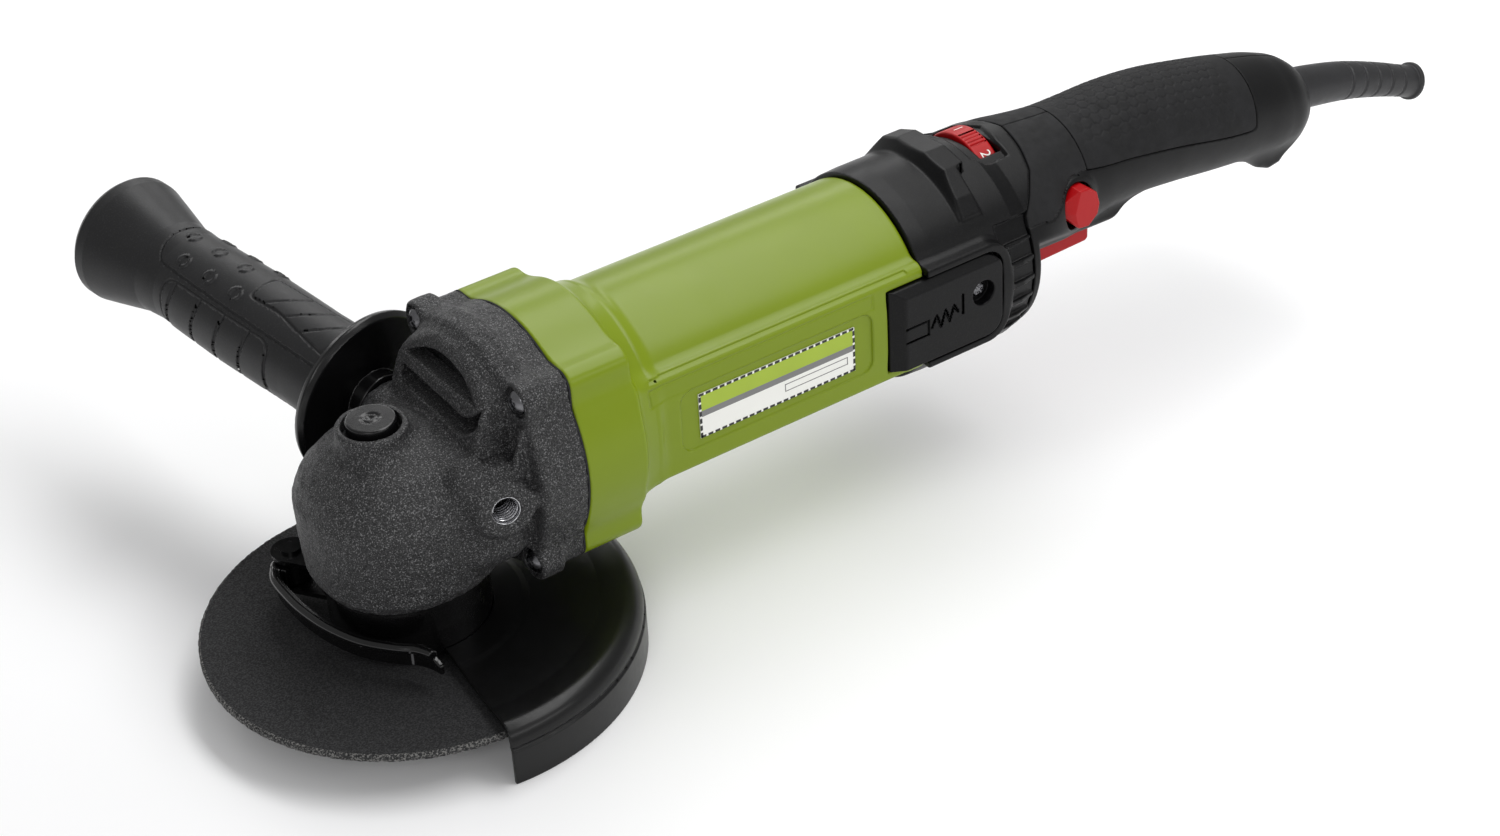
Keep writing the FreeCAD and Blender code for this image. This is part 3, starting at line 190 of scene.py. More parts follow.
def curve_through(x, stations):
    """A smooth line through stations, one column at a time."""
    stations = np.array(stations, float)
    xs, ys = stations[:, 0], stations[:, 1]
    slope = np.gradient(ys, xs)
    i = np.clip(np.searchsorted(xs, x) - 1, 0, len(xs) - 2)
    gap = xs[i + 1] - xs[i]
    s = np.clip((x - xs[i]) / gap, 0, 1)
    return ((2 * s ** 3 - 3 * s ** 2 + 1) * ys[i] + (s ** 3 - 2 * s ** 2 + s) * gap * slope[i]
            + (3 * s ** 2 - 2 * s ** 3) * ys[i + 1] + (s ** 3 - s ** 2) * gap * slope[i + 1])


def line_distance(u, v, points):
    """Distance to an open line through points."""
    best = np.full(u.shape, np.inf)
    for (au, av), (bu, bv) in zip(points, points[1:]):
        eu, ev = bu - au, bv - av
        along = np.clip(((u - au) * eu + (v - av) * ev) / (eu * eu + ev * ev), 0, 1)
        best = np.minimum(best, np.hypot(u - au - along * eu, v - av - along * ev))
    return best


def beside(u, v, points):
    """Signed distance to an open line: positive on the left of its direction."""
    best = np.full(u.shape, np.inf)
    sign = np.ones(u.shape)
    for (au, av), (bu, bv) in zip(points, points[1:]):
        eu, ev = bu - au, bv - av
        along = np.clip(((u - au) * eu + (v - av) * ev) / (eu * eu + ev * ev), 0, 1)
        gap = np.hypot(u - au - along * eu, v - av - along * ev)
        nearer = gap < best
        best = np.where(nearer, gap, best)
        sign = np.where(nearer, np.sign(eu * (v - av) - ev * (u - au)), sign)
    return best * sign


def smooth_line(points, steps=8):
    """Points along a smooth curve through the given ones."""
    ends = [2 * np.array(points[0]) - points[1]] + [np.array(q, float) for q in points]
    ends.append(2 * np.array(points[-1]) - points[-2])
    line = []
    for a, b, c, d in zip(ends, ends[1:], ends[2:], ends[3:]):
        for step in range(steps):
            t = step / steps
            line.append(0.5 * (2 * b + (c - a) * t + (2 * a - 5 * b + 4 * c - d) * t * t
                               + (3 * b - a - 3 * c + d) * t ** 3))
    return line + [ends[-2]]


def lumps(p, size):
    """Smooth noise from -1 to 1 with features about size across."""
    q = p / size
    cell = np.floor(q).astype(np.int64)
    part = q - cell
    part = part * part * (3 - 2 * part)
    total = np.zeros(len(p))
    for corner in range(8):
        bits = np.array([corner & 1, corner >> 1 & 1, corner >> 2 & 1])
        key = (cell + bits) @ np.array([73856093, 19349663, 83492791])
        key = (key ^ (key >> 13)) * 1274126177
        value = ((key ^ (key >> 16)) & 0xFFFF) / 32767.5 - 1
        total += value * np.prod(np.where(bits, part, 1 - part), axis=1)
    return total


# ---------------------------------------------------------------- from a field to a mesh

CORNERS = np.array([(i & 1, i >> 1 & 1, i >> 2 & 1) for i in range(8)])
EDGES = [(a, a | bit) for bit in (1, 2, 4) for a in range(8) if not a & bit]
TETRA = np.array([(1, 1, 1), (1, -1, -1), (-1, 1, -1), (-1, -1, 1)], float)
LEVELS = 4


def slope_of(field, points, reach):
    """A field's value and slope at points."""
    values = [field(points + corner * reach) for corner in TETRA]
    slope = sum(value[:, None] * corner for value, corner in zip(values, TETRA)) / (4 * reach)
    return sum(values) / 4, slope


def cells_near(field, low, cell, counts):
    """The smallest cells that the surface may pass through, from ever smaller blocks."""
    axes = [np.arange(n) for n in counts]
    step = 2 ** LEVELS
    cells = np.stack(np.meshgrid(*axes, indexing="ij"), -1).reshape(-1, 3) * step
    while True:
        middles = low + (cells + step / 2) * cell
        cells = cells[np.abs(field(middles)) < step * cell * 1.15]
        if step == 1:
            return cells
        step //= 2
        cells = (cells[:, None] + CORNERS * step).reshape(-1, 3)


def mesh_of(field, low, high, cell):
    """Points, four-cornered faces and normals of a field's surface, inside the box low to high."""
    cell = cell * COARSER
    low = np.array(low, float) - 1.5 * cell
    counts = np.ceil((np.array(high, float) + 1.5 * cell - low) / (cell * 2 ** LEVELS)).astype(int)
    cells = cells_near(field, low, cell, counts)
    size = counts * 2 ** LEVELS + 2
    strides = np.array([1, size[0], size[0] * size[1]])
    keys, which = np.unique((cells[:, None] + CORNERS) @ strides, return_inverse=True)
    grid = np.stack([keys % size[0], keys // size[0] % size[1], keys // strides[2]], 1)
    values = field(low + grid * cell)[which.reshape(-1, 8)]
    inside = values < 0
    crossed = inside.any(1) & ~inside.all(1)
    cells, values, inside = cells[crossed], values[crossed], inside[crossed]
    points = np.zeros((len(cells), 3))
    hits = np.zeros(len(cells))
    for a, b in EDGES:
        cut = inside[:, a] != inside[:, b]
        share = values[:, a] / np.where(cut, values[:, a] - values[:, b], 1)
        points += np.where(cut[:, None], CORNERS[a] + share[:, None] * (CORNERS[b] - CORNERS[a]), 0)
        hits += cut
    points = low + (cells + points / hits[:, None]) * cell
    keys = cells @ strides
    order = np.argsort(keys)
    faces = []
    for axis in range(3):
        u, v = [strides[i] for i in ((axis + 1) % 3, (axis + 2) % 3)]
        cut = inside[:, 0] != inside[:, 1 << axis]
        corners = keys[cut][:, None] - np.array([0, u, u + v, v])
        found = order[np.minimum(np.searchsorted(keys, corners, sorter=order), len(keys) - 1)]
        whole = (keys[found] == corners).all(1)
        found, out = found[whole], inside[cut][whole][:, 0]
        faces.append(np.where(out[:, None], found, found[:, ::-1]))
    faces = np.concatenate(faces)
    for _ in range(3):
        distance, slope = slope_of(field, points, cell * 0.2)
        steepness = np.maximum(np.sum(slope * slope, 1), 0.2)
        move = slope * (distance / steepness)[:, None]
        length = np.linalg.norm(move, axis=1)
        points -= move * np.minimum(1, cell * 0.5 / np.maximum(length, 1e-9))[:, None]
    normals = slope_of(field, points, cell * 0.2)[1]
    return points, faces, normals / np.maximum(np.linalg.norm(normals, axis=1), 1e-9)[:, None]


def mesh_object(name, points, faces, normals=None, marks=None):
    """A mesh in metres from points in millimetres and faces with equal corner counts."""
    mesh = bpy.data.meshes.new(name)
    faces = np.asarray(faces, np.int32)
    sides = faces.shape[1]
    mesh.vertices.add(len(points))
    mesh.vertices.foreach_set("co", (np.asarray(points) * MM).astype(np.float32).ravel())
    mesh.loops.add(faces.size)
    mesh.loops.foreach_set("vertex_index", faces.ravel())
    mesh.polygons.add(len(faces))
    mesh.polygons.foreach_set("loop_start", np.arange(0, faces.size, sides, dtype=np.int32))
    mesh.polygons.foreach_set("loop_total", np.full(len(faces), sides, np.int32))
    mesh.polygons.foreach_set("use_smooth", np.ones(len(faces), bool))
    if marks is not None:
        mesh.polygons.foreach_set("material_index", np.asarray(marks, np.int32))
    mesh.update(calc_edges=True)
    mesh.validate()
    if normals is not None:
        mesh.normals_split_custom_set_from_vertices(normals.tolist())
    made = bpy.data.objects.new(name, mesh)
    bpy.context.scene.collection.objects.link(made)
    return made


def piece(node, body, field, cell, materials, low=None, high=None, zones=(), replaced=None):
    """A shell that stands for a CAD node. A face inside a zone's field takes that zone's material."""
    box_low, box_high = span(node)
    low = box_low - 1.0 if low is None else low
    high = box_high + 1.0 if high is None else high
    points, faces, normals = mesh_of(field, low, high, cell)
    marks = None
    if zones:
        centres = points[faces].mean(1)
        marks = np.zeros(len(faces), int)
        for number, zone in enumerate(zones, 1):
            marks[zone(centres) < 0] = number
    made = mesh_object(node + "_shell", points, faces, normals, marks)
    for material in materials:
        made.data.materials.append(material)
    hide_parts(*(replaced or [node]))
    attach(made, body)
    return made


# ---------------------------------------------------------------- materials

def srgb(red, green, blue):
    """A colour given as the eye sees it, from 0 to 255, in the linear scale that shaders use."""
    shares = [c / 255 for c in (red, green, blue)]
    return tuple(((c + 0.055) / 1.055) ** 2.4 if c > 10 / 255 else c / 12.92 for c in shares)


class Nodes:
    """A new material's nodes, with one method for each kind that the finishes share."""

    def __init__(self, name):
        self.material = bpy.data.materials.new(name)
        self.material.use_nodes = True
        self.tree = self.material.node_tree
        self.shader = self.tree.nodes["Principled BSDF"]
        self.place = self.tree.nodes.new("ShaderNodeTexCoord").outputs["Object"]

    def add(self, kind, **values):
        node = self.tree.nodes.new(kind)
        for key, value in values.items():
            if hasattr(node, key):
                setattr(node, key, value)
            else:
                node.inputs[key.replace("_", " ")].default_value = value
        return node

    def link(self, start, end):
        self.tree.links.new(start, end)

    def noise(self, size_mm, detail=3.0, roughness=0.55):
        node = self.add("ShaderNodeTexNoise", Scale=1 / (size_mm * MM), Detail=detail, Roughness=roughness)
        self.link(self.place, node.inputs["Vector"])
        return node.outputs["Fac"]

    def ramp(self, value, *stops):
        """Colours or levels at places from 0 to 1."""
        node = self.add("ShaderNodeValToRGB")
        self.link(value, node.inputs["Fac"])
        ends = node.color_ramp.elements
        while len(ends) < len(stops):
            ends.new(0.5)
        for end, (place, level) in zip(ends, stops):
            end.position = place
            end.color = (*(level if isinstance(level, tuple) else (level,) * 3), 1)
        return node.outputs["Color"]

    def mix(self, share, first, second):
        node = self.add("ShaderNodeMix", data_type="RGBA")
        sockets = node.inputs["Factor"], node.inputs[6], node.inputs[7]
        for socket, value in zip(sockets, (share, first, second)):
            if isinstance(value, bpy.types.NodeSocket):
                self.link(value, socket)
            else:
                socket.default_value = (*value, 1) if isinstance(value, tuple) else value
        return node.outputs[2]

    def math(self, operation, first, second):
        node = self.add("ShaderNodeMath", operation=operation)
        for socket, value in zip(node.inputs, (first, second)):
            if isinstance(value, bpy.types.NodeSocket):
                self.link(value, socket)
            else:
                socket.default_value = value
        return node.outputs[0]

    def bump(self, height, depth_mm, under=None):
        node = self.add("ShaderNodeBump", Distance=depth_mm * MM, Strength=1.0)
        self.link(height, node.inputs["Height"])
        if under is not None:
            self.link(under, node.inputs["Normal"])
        return node.outputs["Normal"]

    def edges(self):
        """How sharply the surface bulges: above a half on worn edges."""
        return self.add("ShaderNodeNewGeometry").outputs["Pointiness"]

    def finish(self, colour=None, roughness=None, normal=None, **values):
        for name, value in (("Base Color", colour), ("Roughness", roughness), ("Normal", normal)):
            if value is not None:
                self.link(value, self.shader.inputs[name])
        for key, value in values.items():
            self.shader.inputs[key.replace("_", " ")].default_value = value
        return self.material


def moulded(name, colour, rough, grain_mm=0.5, grain_depth=0.02, specks=0.0, shift=0.06, rubbed=0.2,
            **values):
    """Moulded plastic: a fine spark-eroded grain, slight colour and gloss variation, paler rubbed edges."""
    n = Nodes(name)
    grain = n.noise(grain_mm, 2.0, 0.6)
    broad = n.noise(16.0, 2.0)
    dark = tuple(c * (1 - shift) for c in colour)
    light = tuple(min(c * (1 + shift), 1) for c in colour)
    tint = n.ramp(broad, (0.3, dark), (0.7, light))
    if specks:
        spots = n.ramp(n.noise(0.4, 1.0), (0.54, 0.0), (0.72, 1.0))
        tint = n.mix(n.math("MULTIPLY", spots, specks), tint, tuple(min(c * 2.4 + 0.012, 1) for c in colour))
    worn = n.ramp(n.edges(), (0.54, 0.0), (0.66, 1.0))
    tint = n.mix(n.math("MULTIPLY", worn, rubbed), tint, tuple(min(c * 1.5 + 0.012, 1) for c in colour))
    gloss = n.ramp(n.noise(6.0, 3.0), (0.25, rough - 0.03), (0.75, rough + 0.03))
    return n.finish(tint, gloss, n.bump(grain, grain_depth), **values)


def cast_paint(name):
    """Coarse black paint over sand-cast aluminium, with painted highlights: lighter on the peaks of its fine
    grain, and pale glint specks.
    """
    n = Nodes(name)
    coarse = n.noise(1.5, 3.0, 0.65)
    fine = n.noise(0.55, 3.0, 0.7)
    # lighter where the fine bump is high: a painted highlight on the peaks of the grain
    tint = n.ramp(fine, (0.40, srgb(12, 12, 13)), (0.62, srgb(50, 50, 51)))
    # pale specks: painted glints where the grain catches light
    glint_specks = n.ramp(n.noise(0.42, 1.0, 0.6), (0.56, 0.0), (0.70, 0.9))
    tint = n.mix(glint_specks, tint, srgb(122, 122, 123))
    gloss = n.ramp(coarse, (0.3, 0.60), (0.7, 0.36))
    return n.finish(tint, gloss, n.bump(fine, 0.3, n.bump(coarse, 0.3)), Specular_IOR_Level=0.35)


def painted_steel(name, level, rough, coat=0.1, rubbed=0.6):
    """Black paint on pressed steel, grey along its edges: partly worn paint, partly a painted highlight where
    the edges catch light.
    """
    n = Nodes(name)
    dark, light = srgb(level, level, level), srgb(level + 3, level + 3, level + 4)
    tint = n.ramp(n.noise(9.0, 3.0), (0.3, dark), (0.7, light))
    # paler grey on sharp edges: part paint wear, part painted highlight of the edges catching light
    worn = n.ramp(n.edges(), (0.56, 0.0), (0.68, 1.0))
    tint = n.mix(n.math("MULTIPLY", worn, rubbed), tint, srgb(120, 120, 122))
    gloss = n.ramp(n.noise(3.0, 4.0), (0.25, rough - 0.03), (0.75, rough + 0.05))
    return n.finish(tint, gloss, n.bump(n.noise(0.5, 2.0), 0.008), Coat_Weight=coat, Coat_Roughness=0.12,
                    Specular_IOR_Level=0.25)


def metal(name, colour, rough, grain_mm=0.3, grain_depth=0.006):
    """Bare or plated metal with faint streaks of tone and gloss."""
    n = Nodes(name)
    tint = n.ramp(n.noise(2.5, 4.0), (0.3, tuple(c * 0.8 for c in colour)), (0.7, colour))
    gloss = n.ramp(n.noise(1.2, 4.0), (0.3, max(rough - 0.08, 0.05)), (0.7, rough + 0.1))
    return n.finish(tint, gloss, n.bump(n.noise(grain_mm, 2.0), grain_depth), Metallic=1.0)


def abrasive(name):
    """Resin-bonded grit: dark, matt, sparkling where grains break the surface at the rim."""
    n = Nodes(name)
    grit = n.noise(0.5, 2.0, 0.7)
    tint = n.ramp(grit, (0.42, srgb(30, 30, 31)), (0.68, srgb(56, 56, 57)))
    away = n.add("ShaderNodeVectorMath", operation="LENGTH")
    flat = n.add("ShaderNodeVectorMath", operation="MULTIPLY")
    flat.inputs[1].default_value = (1, 1, 0)
    n.link(n.place, flat.inputs[0])
    n.link(flat.outputs[0], away.inputs[0])
    radius = span("grinding_disc")[1][0] * MM
    rim = n.math("GREATER_THAN", away.outputs["Value"], radius - 0.9 * MM)
    sparks = n.ramp(n.noise(0.6, 1.0, 0.7), (0.48, 0.0), (0.62, 1.0))
    tint = n.mix(n.math("MULTIPLY", rim, sparks), tint, srgb(112, 111, 109))
    return n.finish(tint, n.ramp(grit, (0.3, 0.85), (0.7, 0.6)), n.bump(grit, 0.09), Specular_IOR_Level=0.25)


def rubber(name, level, rough, size=0.4):
    """A matt grey or black sheet or skin."""
    n = Nodes(name)
    dark, light = srgb(level - 3, level - 3, level - 2), srgb(level + 4, level + 4, level + 6)
    tint = n.ramp(n.noise(8.0, 3.0), (0.3, dark), (0.7, light))
    return n.finish(tint, n.ramp(n.noise(3.0, 3.0), (0.3, rough - 0.06), (0.7, rough + 0.06)),
                    n.bump(n.noise(size, 2.0), 0.03), Specular_IOR_Level=0.3)


GREEN = moulded("green_moulding", srgb(117, 136, 14), 0.34, 0.7, 0.006, shift=0.015, rubbed=0.05,
                Coat_Weight=0.08, Coat_Roughness=0.22, Specular_IOR_Level=0.25)
BLACK = moulded("black_moulding", srgb(7, 7, 8), 0.36, 0.5, 0.03, specks=0.3, rubbed=0.3,
                Specular_IOR_Level=0.17)
# the side handle's black plastic, painted lighter than the other black mouldings to stand in for the light
# falling on it from above
LIT_BLACK_SIDE = moulded("side_handle_moulding_painted_lighter", srgb(30, 30, 31), 0.42, 0.45, 0.03, specks=0.3, rubbed=0.4,
                     Specular_IOR_Level=0.3)
BLACK_GLOSS = moulded("glossy_black_moulding", srgb(9, 9, 10), 0.24, 0.5, 0.008, Specular_IOR_Level=0.4)
RED = moulded("red_moulding", srgb(168, 5, 12), 0.38, 0.5, 0.010, shift=0.02, rubbed=0.1,
              Specular_IOR_Level=0.25)
WHITE = moulded("white_print", srgb(235, 235, 230), 0.45, shift=0.01, rubbed=0.0)
LABEL_GREEN = moulded("label_green", srgb(150, 172, 40), 0.4)
LABEL_GREY = moulded("label_grey", srgb(112, 112, 112), 0.4)
LABEL_BLACK = moulded("label_black", srgb(18, 18, 18), 0.4)
CAST = cast_paint("cast_black_paint")
GUARD_PAINT = painted_steel("guard_paint", 8, 0.34)
CLAMP_PAINT = painted_steel("clamp_paint", 6, 0.20, 0.5)
BAND_PAINT = painted_steel("band_paint", 6, 0.24, 0.4, rubbed=0.0)
SCREW = metal("black_screw", srgb(120, 120, 123), 0.26)
STEEL = metal("bright_steel_finish", srgb(205, 205, 208), 0.22)
DARK_STEEL = metal("dark_steel_finish", srgb(120, 120, 124), 0.35)
SPRING = metal("spring_wire", srgb(160, 160, 165), 0.3)
BRONZE = metal("sintered_bronze", srgb(184, 130, 80), 0.45, 0.2, 0.02)
ALLOY = metal("bearing_plate_alloy", srgb(190, 192, 196), 0.4, 0.4, 0.02)
COPPER = metal("enamelled_copper", srgb(190, 98, 54), 0.3, 0.5, 0.05)
LAMINATION = metal("stacked_lamination", srgb(120, 122, 128), 0.45, 0.5, 0.03)
PAPER = rubber("gasket_paper_sheet", 36, 0.9)
CARBON = rubber("pressed_carbon", 40, 0.7)
BOARD = moulded("printed_board", srgb(30, 90, 50), 0.4)
GRIT = abrasive("bonded_grit")
GRIP = rubber("soft_grip_skin", 19, 0.72)
HANDLE = moulded("handle_moulding", srgb(5, 5, 6), 0.48, 0.45, 0.025, specks=0.15, rubbed=0.3,
                 Specular_IOR_Level=0.22)

FINISHES = {
    "cast_black": CAST, "bright_steel": STEEL, "dark_steel": DARK_STEEL, "spring_steel": SPRING,
    "bronze": BRONZE, "gasket_paper": PAPER, "bearing_alloy": ALLOY, "black_painted_steel": GUARD_PAINT,
    "abrasive": GRIT,
    "green_plastic": GREEN, "label": WHITE, "black_plastic": BLACK, "soft_black": GRIP, "red_plastic": RED,
    "lamination": LAMINATION, "copper": COPPER, "carbon": CARBON, "circuit_board": BOARD,
}
NODE_FINISHES = {
    "handle_screws": SCREW, "clamp_pin": BAND_PAINT, "clamp_bracket": BAND_PAINT, "guard_band": BAND_PAINT,
    "bearing_cover": BAND_PAINT,
}


def dress_cad_nodes():
    """Every CAD node gets its slot's finish, or one of its own."""
    for part in frame["record"]["subparts"]:
        node = frame["nodes"][part["node"]]
        node.data.materials.clear()
        node.data.materials.append(NODE_FINISHES.get(part["node"]) or FINISHES[part["material_slot"]])


# ---------------------------------------------------------------- gear head

def bell_outline(p, round_radius, square_half, corner):
    """The joint face between head and motor: a circle and a rounded square together."""
    y, z = p[:, 1], p[:, 2] - MOTOR_Z
    return joined(3.0, np.hypot(y, z) - round_radius, rectangle(y, z, square_half, square_half, corner))


def side_axis(side):
    """The direction in which a side handle hole opens, and the middle of its mouth."""
    mirror = np.array([1, side, 1])
    return SIDE_LEAN / np.linalg.norm(SIDE_LEAN) * mirror, SIDE_SEAT * mirror


def screw_places():
    """Where the gearbox screws are, from the motor axis, along Y and Z."""
    return [(y, z) for y in (-SCREW_REACH, SCREW_REACH) for z in (-SCREW_REACH, SCREW_REACH)]


def build_gear_housing():
    button = middle("lock_button")
    button_radius = (span("lock_button")[1] - span("lock_button")[0])[1] / 2
    flange_front, flange_back = 27.0, HEAD_HIGH[0]
    bottom, brow = 31.0, 76.5
    reach = -HEAD_LOW[0]
    squareness = 2.25

    def pot(p):
        """The pot round the crown gear: rounded-square in plan, under a stepped shoulder."""
        x, y, z = p.T
        away = (np.abs(x) ** squareness + np.abs(y) ** squareness) ** (1 / squareness)
        profile = [(bottom, -FAR), (bottom, reach - 2.5), (34, reach - 0.8), (45, reach), (57, reach),
                   (63.5, reach - 2.6), (70.5, reach - 8.6), (74.5, 12.0), (brow, 5.0), (brow, -FAR)]
        return outline(z, away, profile, 1.6)

    def tower(p, away):
        """The raised frame round the two air slots: a leaning face under a conical rim."""
        x, y, z = p.T
        face = (14.2 + (z - 74.0) * 0.38 - x) * 0.93
        rim = (away - 33.8 - (x - 20.0) * 0.42) * 0.92
        return shared(1.4, face, rim, np.abs(y) - 23.6, 66.0 - z, x - 32.0)

    def slots(p, away):
        """A D-shaped vent under the rim, and a narrow slot that curves up at its near end."""
        x, y, z = p.T
        upper = shared(0.8, away - 30.9, 84.8 - z, np.abs(y) - 19.6)
        near = np.maximum(-13.0 - y, 0)
        curve = z - 78.2 - 0.03 * y - 0.075 * near ** 2
        lower = shared(0.6, np.abs(curve) * 0.82 - 1.95, np.abs(y + 1.0) - 20.4)
        return joined(0, shared(0, upper, 10.0 - x, x - 31.0), shared(0, lower, 12.6 - x, x - 25.5))

    def side_handle_bosses(body, p):
        x, y, z = p.T
        for side in (-1, 1):
            axis, seat = side_axis(side)
            body = joined(5.0, body, rod(p, seat, axis, -16, 0, 8.4, 1.2))
            gusset = outline(x, z, [(19, 60), (28, 60), (28, 80), (25.6, 80)], 0.6)
            body = joined(1.5, body, shared(1.0, gusset, np.abs(y - side * 29.6) - 1.3))
            pocket = outline(x, z, [(15.0, 71.5), (26.4, 71.5), (26.4, 92.0), (23.5, 92.0)], 1.0)
            body = without(1.2, body, shared(1.0, pocket, np.abs(y - side * 26.0) - 2.6))
        return body

    def field(p):
        x, y, z = p.T
        away = np.hypot(y, z - MOTOR_Z)
        skirt = block(p, (4, -30.5, 36), (28, 30.5, 72.5), 8.0)
        top = joined(3.0, pot(p), skirt)
        top = joined(1.4, top, tower(p, away))
        rim = rod(p, (button[0], 0, 0), (0, 0, 1), 66, 80.2, button_radius + 3.2, 1.2)
        top = joined(3.0, top, rim)
        flange = shared(1.6, bell_outline(p, FLANGE_ROUND, FLANGE_SQUARE, 5.0),
                        between(x, flange_front, flange_back + 3))
        flange = shared(0, flange, x - flange_back)
        body = side_handle_bosses(joined(4.0, top, flange), p)
        for y0, z0 in screw_places():
            ear = rod(p, (0, y0, MOTOR_Z + z0), (1, 0, 0), HEAD_BASE - 0.8, 34, 5.9, 0.8)
            body = joined(2.5, body, ear)
            recess = rod(p, (0, y0, MOTOR_Z + z0), (1, 0, 0), 12, HEAD_BASE + 0.1, 4.55, 0.3)
            body = without(0.5, body, recess)
        body = body - 0.15 * lumps(p, 2.2) - 0.08 * lumps(p, 1.1)
        ring = np.abs(np.hypot(x - button[0], y) - button_radius - 0.6) - 0.7
        body = without(0.4, body, shared(0, ring, 76.2 - z))
        body = without(0, body, rod(p, (button[0], 0, 0), (0, 0, 1), 71, 90, button_radius + 0.3))
        body = without(0.8, body, slots(p, away))
        for side in (-1, 1):
            axis, seat = side_axis(side)
            body = without(0.7, body, rod(p, seat, axis, -12, 3, 4.15))
        for y0, z0 in screw_places():
            body = without(0, body, rod(p, (0, y0, MOTOR_Z + z0), (1, 0, 0), 12, 46, 2.7))
        inner_pot = turned(p, (0, 0, 0), (0, 0, 1), [(bottom - 3, 22.6), (54, 22.6), (66, 10.0)], 0.5)
        pinion = rod(p, (0, 0, MOTOR_Z), (1, 0, 0), 9.0, 30.0, 11.0)
        seat = rod(p, (0, 0, MOTOR_Z), (1, 0, 0), 29.0, flange_back + 4, 26.1)
        airway = shared(0, away - 33.0, block(p, (24, -19, 84), (45, 19, 98)))
        return without(0, body, inner_pot, pinion, seat, airway)

    piece("gear_housing", "housing", field, 0.6, [CAST])


def build_thread():
    """The bright tapped sleeves of the two side handle holes, with their thread."""
    points, faces = [], []
    around, pitch, turns, deep = 40, 1.25, 8, 10.6
    rows = turns * 4 + 1
    for side in (-1, 1):
        axis, seat = side_axis(side)
        across = np.cross(axis, (0, 0, 1))
        across /= np.linalg.norm(across)
        up = np.cross(axis, across)
        base = len(points)
        for row in range(rows):
            crest = 3.85 + 0.32 * math.cos(2 * math.pi * row / 4)
            radius = crest if row < rows - 3 else 4.25
            for step in range(around):
                angle = 2 * math.pi * step / around
                place = min((row / 4 + step / around) * pitch - deep, -0.25)
                outwards = math.cos(angle) * across + math.sin(angle) * up
                points.append(seat + axis * place + radius * outwards)
        for row in range(rows - 1):
            for step in range(around):
                a = base + row * around + step
                b = base + row * around + (step + 1) % around
                faces.append((a, b, b + around, a + around))
    made = mesh_object("tapped_sleeves", points, faces)
    made.data.materials.append(STEEL)
    solid = made.modifiers.new("wall", "SOLIDIFY")
    solid.thickness = 0.35 * MM
    solid.offset = 0
    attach(made, "housing")


# ---------------------------------------------------------------- motor housing and label

def build_motor_housing():
    front, back = BELL_LOW[0], BELL_HIGH[0]
    label_low, label_high = span("rating_plate")
    cover_low, cover_high = span("brush_cover_left")
    label_x, label_z = (label_low + label_high)[[0, 2]] / 2
    label_seat = -label_low[1] - 0.45

    def outside(p):
        x, y, z = p.T
        height = z - MOTOR_Z
        bell = shared(1.2, bell_outline(p, FLANGE_ROUND, FLANGE_SQUARE, 5.0), x - BELL_BACK)
        shoulder = turned(p, (0, 0, MOTOR_Z), (1, 0, 0),
                          [(front - 5, FLANGE_ROUND - 1.5), (BELL_BACK - 0.5, FLANGE_ROUND - 1.5),
                           (BELL_BACK + 6, BARREL_RADIUS), (BELL_BACK + 7, BARREL_RADIUS)], 0)
        barrel = shared(1.5, np.hypot(y, height) - BARREL_RADIUS, np.abs(y) - PANEL_HALF, x - back)
        panel = shared(0, rectangle(y, height, PANEL_HALF, PANEL_HEIGHT, 3.0), front - x, x - back)
        body = joined(1.5, barrel, panel)
        return joined(5.0, body, joined(2.0, bell, shoulder))

    def field(p):
        x, y, z = p.T
        height = z - MOTOR_Z
        side = np.abs(y)
        flank = np.where(side > 20, 1.0, 0.0)
        beyond = np.maximum(between(x, 68.0, 160.0), 0)
        edge_line = np.hypot(np.abs(height) - PANEL_HEIGHT + 0.9, beyond)
        frame_line = np.abs(rectangle(x - 107.0, height - 12.9, 40.0, 2.5, 0.6))
        body = outside(p)
        body = body + flank * (groove(edge_line, 1.2, 0.5) + groove(frame_line, 0.9, 0.28))
        seat = rectangle(x - label_x, z - label_z, 34.5, 10.4, 4.0)
        body = without(0.3, body, shared(0.3, seat, label_seat - side))
        body = shared(0.8, body, front - x, x - back)
        hollow = shared(0, np.hypot(y, height) - BARREL_RADIUS + 2.6, side - label_seat + 1.8, front - 5 - x)
        inner = bell_outline(p, FLANGE_ROUND - 2.4, FLANGE_SQUARE - 2.4, 4.0)
        bell_room = shared(0, inner, x - BELL_BACK + 2.5)
        hollow = joined(0, hollow, bell_room)
        for y0, z0 in screw_places():
            lug = rod(p, (0, y0, MOTOR_Z + z0), (1, 0, 0), front - 5, BELL_BACK, 5.2)
            hollow = without(0, hollow, lug)
        body = without(0, body, hollow)
        for y0, z0 in screw_places():
            body = without(0, body, rod(p, (0, y0, MOTOR_Z + z0), (1, 0, 0), front - 5, 60, 2.5))
        half = (cover_high[2] - cover_low[2]) / 2 + 0.3
        notch = shared(0, cover_low[0] - 0.3 - x, np.abs(height) - half, 29.9 - side)
        return without(0.4, body, notch)

    piece("motor_housing", "housing", field, 0.66, [GREEN])


def plain_box(points, faces, low, high):
    """Adds a box's corners and faces to lists."""
    low, high = np.array(low, float), np.array(high, float)
    base = len(points)
    sides = (0, 2, 3, 1), (4, 5, 7, 6), (0, 1, 5, 4), (2, 6, 7, 3), (0, 4, 6, 2), (1, 3, 7, 5)
    points += [low + (high - low) * corner for corner in CORNERS]
    faces += [tuple(base + i for i in face) for face in sides]


